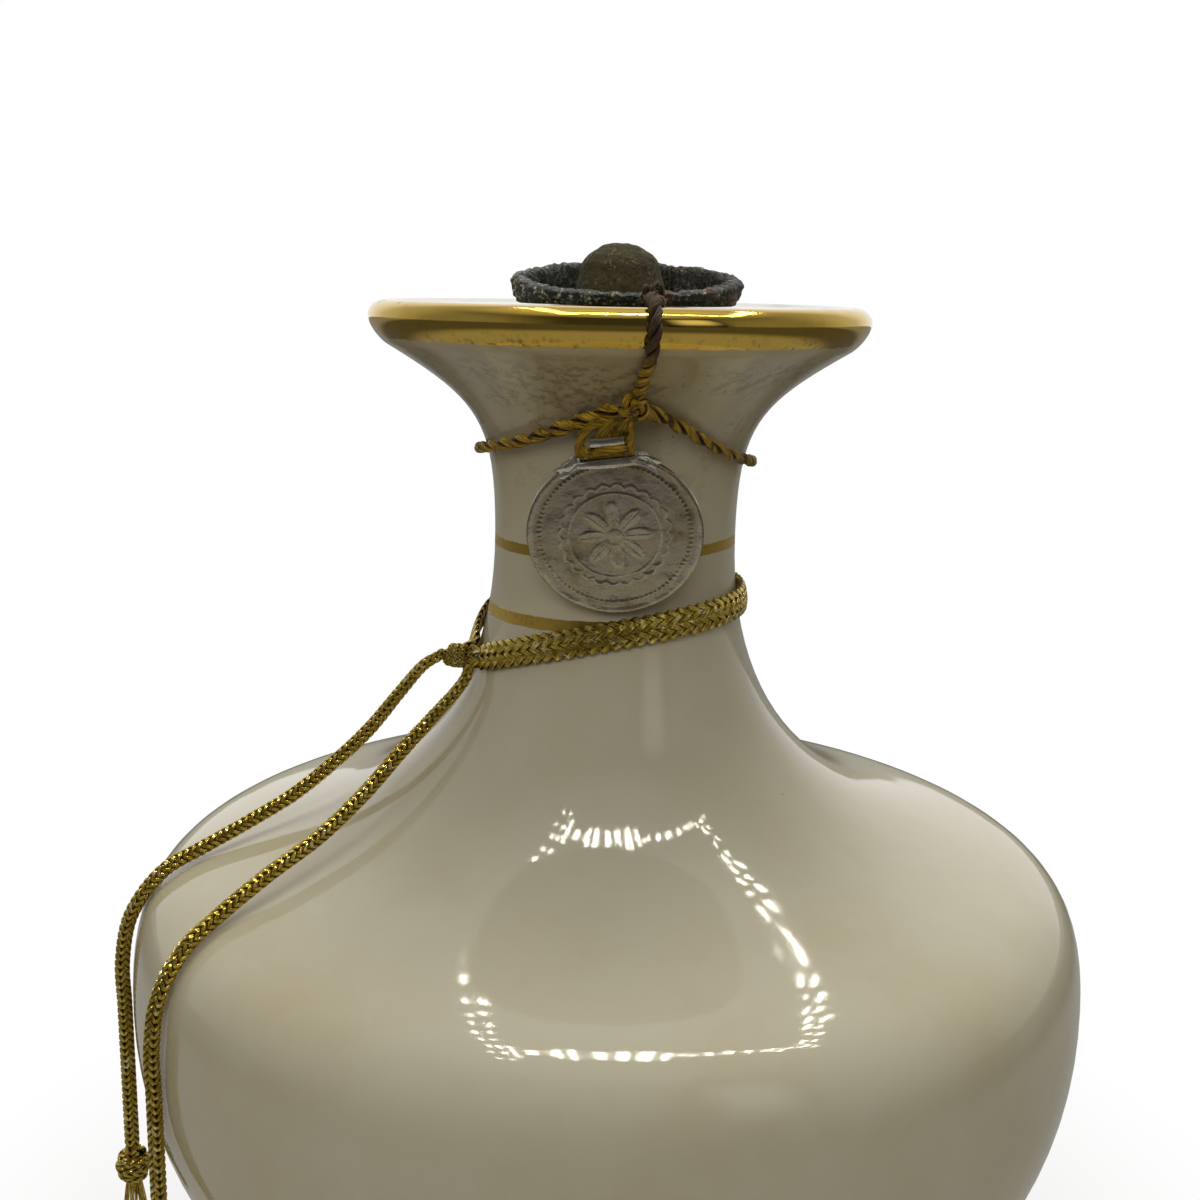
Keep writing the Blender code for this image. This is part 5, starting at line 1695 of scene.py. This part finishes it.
class BottleStage(bpy.types.Operator):
    """Sets the pale floor, the soft lights, the world and the photograph's camera"""

    bl_idname = "bottle.stage"
    bl_label = "Floor, lights and camera"

    def execute(self, context):
        self.floor()
        self.world(context.scene)
        for lamp in LAMPS:
            self.lamp(*lamp)
        self.lamp_rails()
        self.window()
        self.camera(context.scene)
        context.scene.view_settings.view_transform = "Standard"
        return {"FINISHED"}

    def floor(self):
        """The white floor: shaded by the bottle only close to it, and dim in the reflections."""
        deselect()
        bpy.ops.mesh.primitive_plane_add(size=FLOOR_SIZE, location=(0, 0, 0))
        floor = bpy.context.object
        floor.name = "floor"
        material, tree = bare_material("pale_floor")
        glow = node(tree, "ShaderNodeEmission", Color=(1, 1, 1, 1), Strength=1.0)
        ray = node(tree, "ShaderNodeLightPath")
        spot = tree.nodes.new("ShaderNodeTexCoord").outputs["Object"]
        reach = node(tree, "ShaderNodeVectorMath", in_0=spot, set_operation="LENGTH").outputs["Value"]
        beyond = ramp(tree, axis_of(tree, spot, "Y"), 0.25, 0.70, 0.0, 0.28)
        far = ramp(tree, reach, 0.06, 0.24)
        paper = blend(tree, far, (0.60, 0.58, 0.54), (0.17, 0.15, 0.12))
        matte = node(tree, "ShaderNodeBsdfDiffuse", Color=paper)
        bright = largest(tree, ramp(tree, reach, 0.20, 0.32, 0.36, 0.10), beyond)
        sheet = node(tree, "ShaderNodeEmission", Color=(*PAPER_LIGHT, 1), Strength=bright)
        mirrored = node(
            tree,
            "ShaderNodeMixShader",
            in_0=ray.outputs["Is Glossy Ray"],
            in_1=matte.outputs[0],
            in_2=sheet.outputs[0],
        )
        white = ramp(tree, reach, FLOOR_SHADOW_REACH / 2, FLOOR_SHADOW_REACH, 0.82, 1.0)
        seen = times(tree, ray.outputs["Is Camera Ray"], white)
        mix = node(tree, "ShaderNodeMixShader", in_0=seen, in_1=mirrored.outputs[0], in_2=glow.outputs[0])
        out = node(tree, "ShaderNodeOutputMaterial", Surface=mix.outputs[0])
        out.is_active_output = True
        floor.data.materials.append(material)

    def world(self, scene):
        """A room with a pale ceiling and back, darker towards the camera, before a white backdrop."""
        world = bpy.data.worlds.new("studio")
        scene.world = world
        world.use_nodes = True
        tree = world.node_tree
        background = tree.nodes["Background"]
        way = node(tree, "ShaderNodeTexCoord").outputs["Generated"]
        parts = node(tree, "ShaderNodeSeparateXYZ", Vector=way)
        above = ramp(tree, parts.outputs["Z"], 0.72, 0.98, 0.0, 0.55)
        behind = ramp(tree, parts.outputs["Y"], -0.10, 0.85, 0.0, 0.50)
        sides = ramp(tree, maths(tree, "ABSOLUTE", parts.outputs["X"]), 0.35, 0.90, 0.0, 0.22)
        room = plus(tree, plus(tree, above, behind), plus(tree, sides, 0.05))
        path = node(tree, "ShaderNodeLightPath")
        backdrop = ramp(tree, parts.outputs["Y"], 0.30, 0.90)
        mirrored = times(tree, path.outputs["Is Glossy Ray"], backdrop)
        ray = largest(tree, path.outputs["Is Camera Ray"], mirrored)
        connect(tree, blend(tree, ray, PAPER_LIGHT, (1, 1, 1)), background.inputs["Color"])
        connect(tree, largest(tree, ray, room), background.inputs["Strength"])

    def lamp_rails(self):
        """Four double rows of small ceiling lamps, which show only as rows of glints on the glaze."""
        chance = random.Random(3)
        spots = []
        for (x0, y0), (x1, y1), count, length in LAMP_RAILS:
            for i in range(count):
                t = i / (count - 1)
                for side in (-LAMP_PAIR_HALF_GAP, LAMP_PAIR_HALF_GAP):
                    x = x0 + (x1 - x0) * t + side + chance.uniform(-0.01, 0.01)
                    y = y0 + (y1 - y0) * t + chance.uniform(-0.02, 0.02)
                    spots.append((x, y, length * chance.uniform(0.5, 1.3)))
        vertices = []
        faces = []
        for x, y, length in spots:
            wide = LAMP_HALF_WIDTH
            start = len(vertices)
            corners_of = ((-wide, -length / 2), (wide, -length / 2), (wide, length / 2), (-wide, length / 2))
            vertices += [(x + dx, y + dy, LAMP_HEIGHT) for dx, dy in corners_of]
            faces.append((start + 3, start + 2, start + 1, start))
        mesh = bpy.data.meshes.new("lamp_rails")
        mesh.from_pydata(vertices, [], faces)
        rails = bpy.data.objects.new("lamp_rails", mesh)
        bpy.context.scene.collection.objects.link(rails)
        material, tree = bare_material("lamp_glow")
        glow = node(tree, "ShaderNodeEmission", Color=(1.0, 0.96, 0.82, 1), Strength=LAMP_STRENGTH)
        node(tree, "ShaderNodeOutputMaterial", Surface=glow.outputs[0])
        mesh.materials.append(material)
        show_only_in_mirrors(rails)

    def window(self):
        """A tall soft window at the front right, which only shiny faces show."""
        deselect()
        bpy.ops.mesh.primitive_plane_add(size=1, location=WINDOW_PLACE)
        window = bpy.context.object
        window.name = "window"
        window.scale = WINDOW_SIZE
        window.rotation_euler = (math.radians(90), 0, math.radians(WINDOW_TURN))
        material, tree = bare_material("window_glow")
        spot = tree.nodes.new("ShaderNodeTexCoord").outputs["Object"]
        parts = node(tree, "ShaderNodeSeparateXYZ", Vector=spot)
        strength = 1.0
        for part in (parts.outputs["X"], parts.outputs["Y"]):
            strength = times(tree, strength, ramp(tree, maths(tree, "ABSOLUTE", part), 0.50, 0.10))
        glow = node(tree, "ShaderNodeEmission", Color=(1.0, 0.98, 0.94, 1), Strength=strength)
        node(tree, "ShaderNodeOutputMaterial", Surface=glow.outputs[0])
        window.data.materials.append(material)
        show_only_in_mirrors(window)

    def lamp(self, name, place, width, height, power):
        light = bpy.data.lights.new(name, "AREA")
        light.shape = "RECTANGLE"
        light.size = width
        light.size_y = height
        light.energy = power
        light.color = (1.0, 0.97, 0.92)
        lamp = bpy.data.objects.new(name, light)
        lamp.location = place
        aim = Vector(LAMP_AIM) - Vector(place)
        lamp.rotation_euler = aim.to_track_quat("-Z", "Y").to_euler()
        lamp.visible_glossy = False
        bpy.context.scene.collection.objects.link(lamp)

    def camera(self, scene):
        data = bpy.data.cameras.new("photograph")
        data.sensor_width = SENSOR_MM
        data.lens = CAMERA_LENS_MM
        data.clip_start = 0.01
        camera = bpy.data.objects.new("photograph", data)
        turn = (
            Matrix.Rotation(math.radians(-CAMERA_YAW), 4, "Z")
            @ Matrix.Rotation(math.radians(90 - CAMERA_PITCH), 4, "X")
            @ Matrix.Rotation(math.radians(CAMERA_ROLL), 4, "Z")
        )
        camera.matrix_world = Matrix.Translation(CAMERA_PLACE) @ turn
        scene.collection.objects.link(camera)
        scene.camera = camera


PIECE_OPERATORS = (
    BottlePorcelain,
    BottleStopper,
    BottleCup,
    BottleTwine,
    BottleSeal,
    BottleBraid,
    BottleTails,
)


class BottlePanel(bpy.types.Panel):
    """Lists the bottle's pieces in the 3D view's sidebar"""

    bl_idname = "VIEW3D_PT_bottle"
    bl_label = "Porcelain liqueur bottle"
    bl_space_type = "VIEW_3D"
    bl_region_type = "UI"
    bl_category = "Bottle"

    def draw(self, context):
        layout = self.layout
        for operator in (BottleStage, *PIECE_OPERATORS):
            layout.operator(operator.bl_idname)
        for group in (context.scene.bottle_sizes, context.scene.bottle_colours):
            for name in group.bl_rna.properties.keys():
                if name not in ("rna_type", "name"):
                    layout.prop(group, name)


CLASSES = (BottleSizes, BottleColours, BottleStage, *PIECE_OPERATORS, BottlePanel)


def register():
    for cls in CLASSES:
        bpy.utils.register_class(cls)
    bpy.types.Scene.bottle_sizes = bpy.props.PointerProperty(type=BottleSizes)
    bpy.types.Scene.bottle_colours = bpy.props.PointerProperty(type=BottleColours)


def unregister():
    del bpy.types.Scene.bottle_colours
    del bpy.types.Scene.bottle_sizes
    for cls in reversed(CLASSES):
        bpy.utils.unregister_class(cls)


def main():
    register()
    bpy.ops.bottle.stage()
    bpy.ops.bottle.tails()
    bpy.ops.bottle.braid()
    bpy.ops.bottle.porcelain()
    bpy.ops.bottle.stopper()
    bpy.ops.bottle.cup()
    bpy.ops.bottle.twine()
    bpy.ops.bottle.seal()
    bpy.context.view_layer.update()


if __name__ == "__main__":
    main()
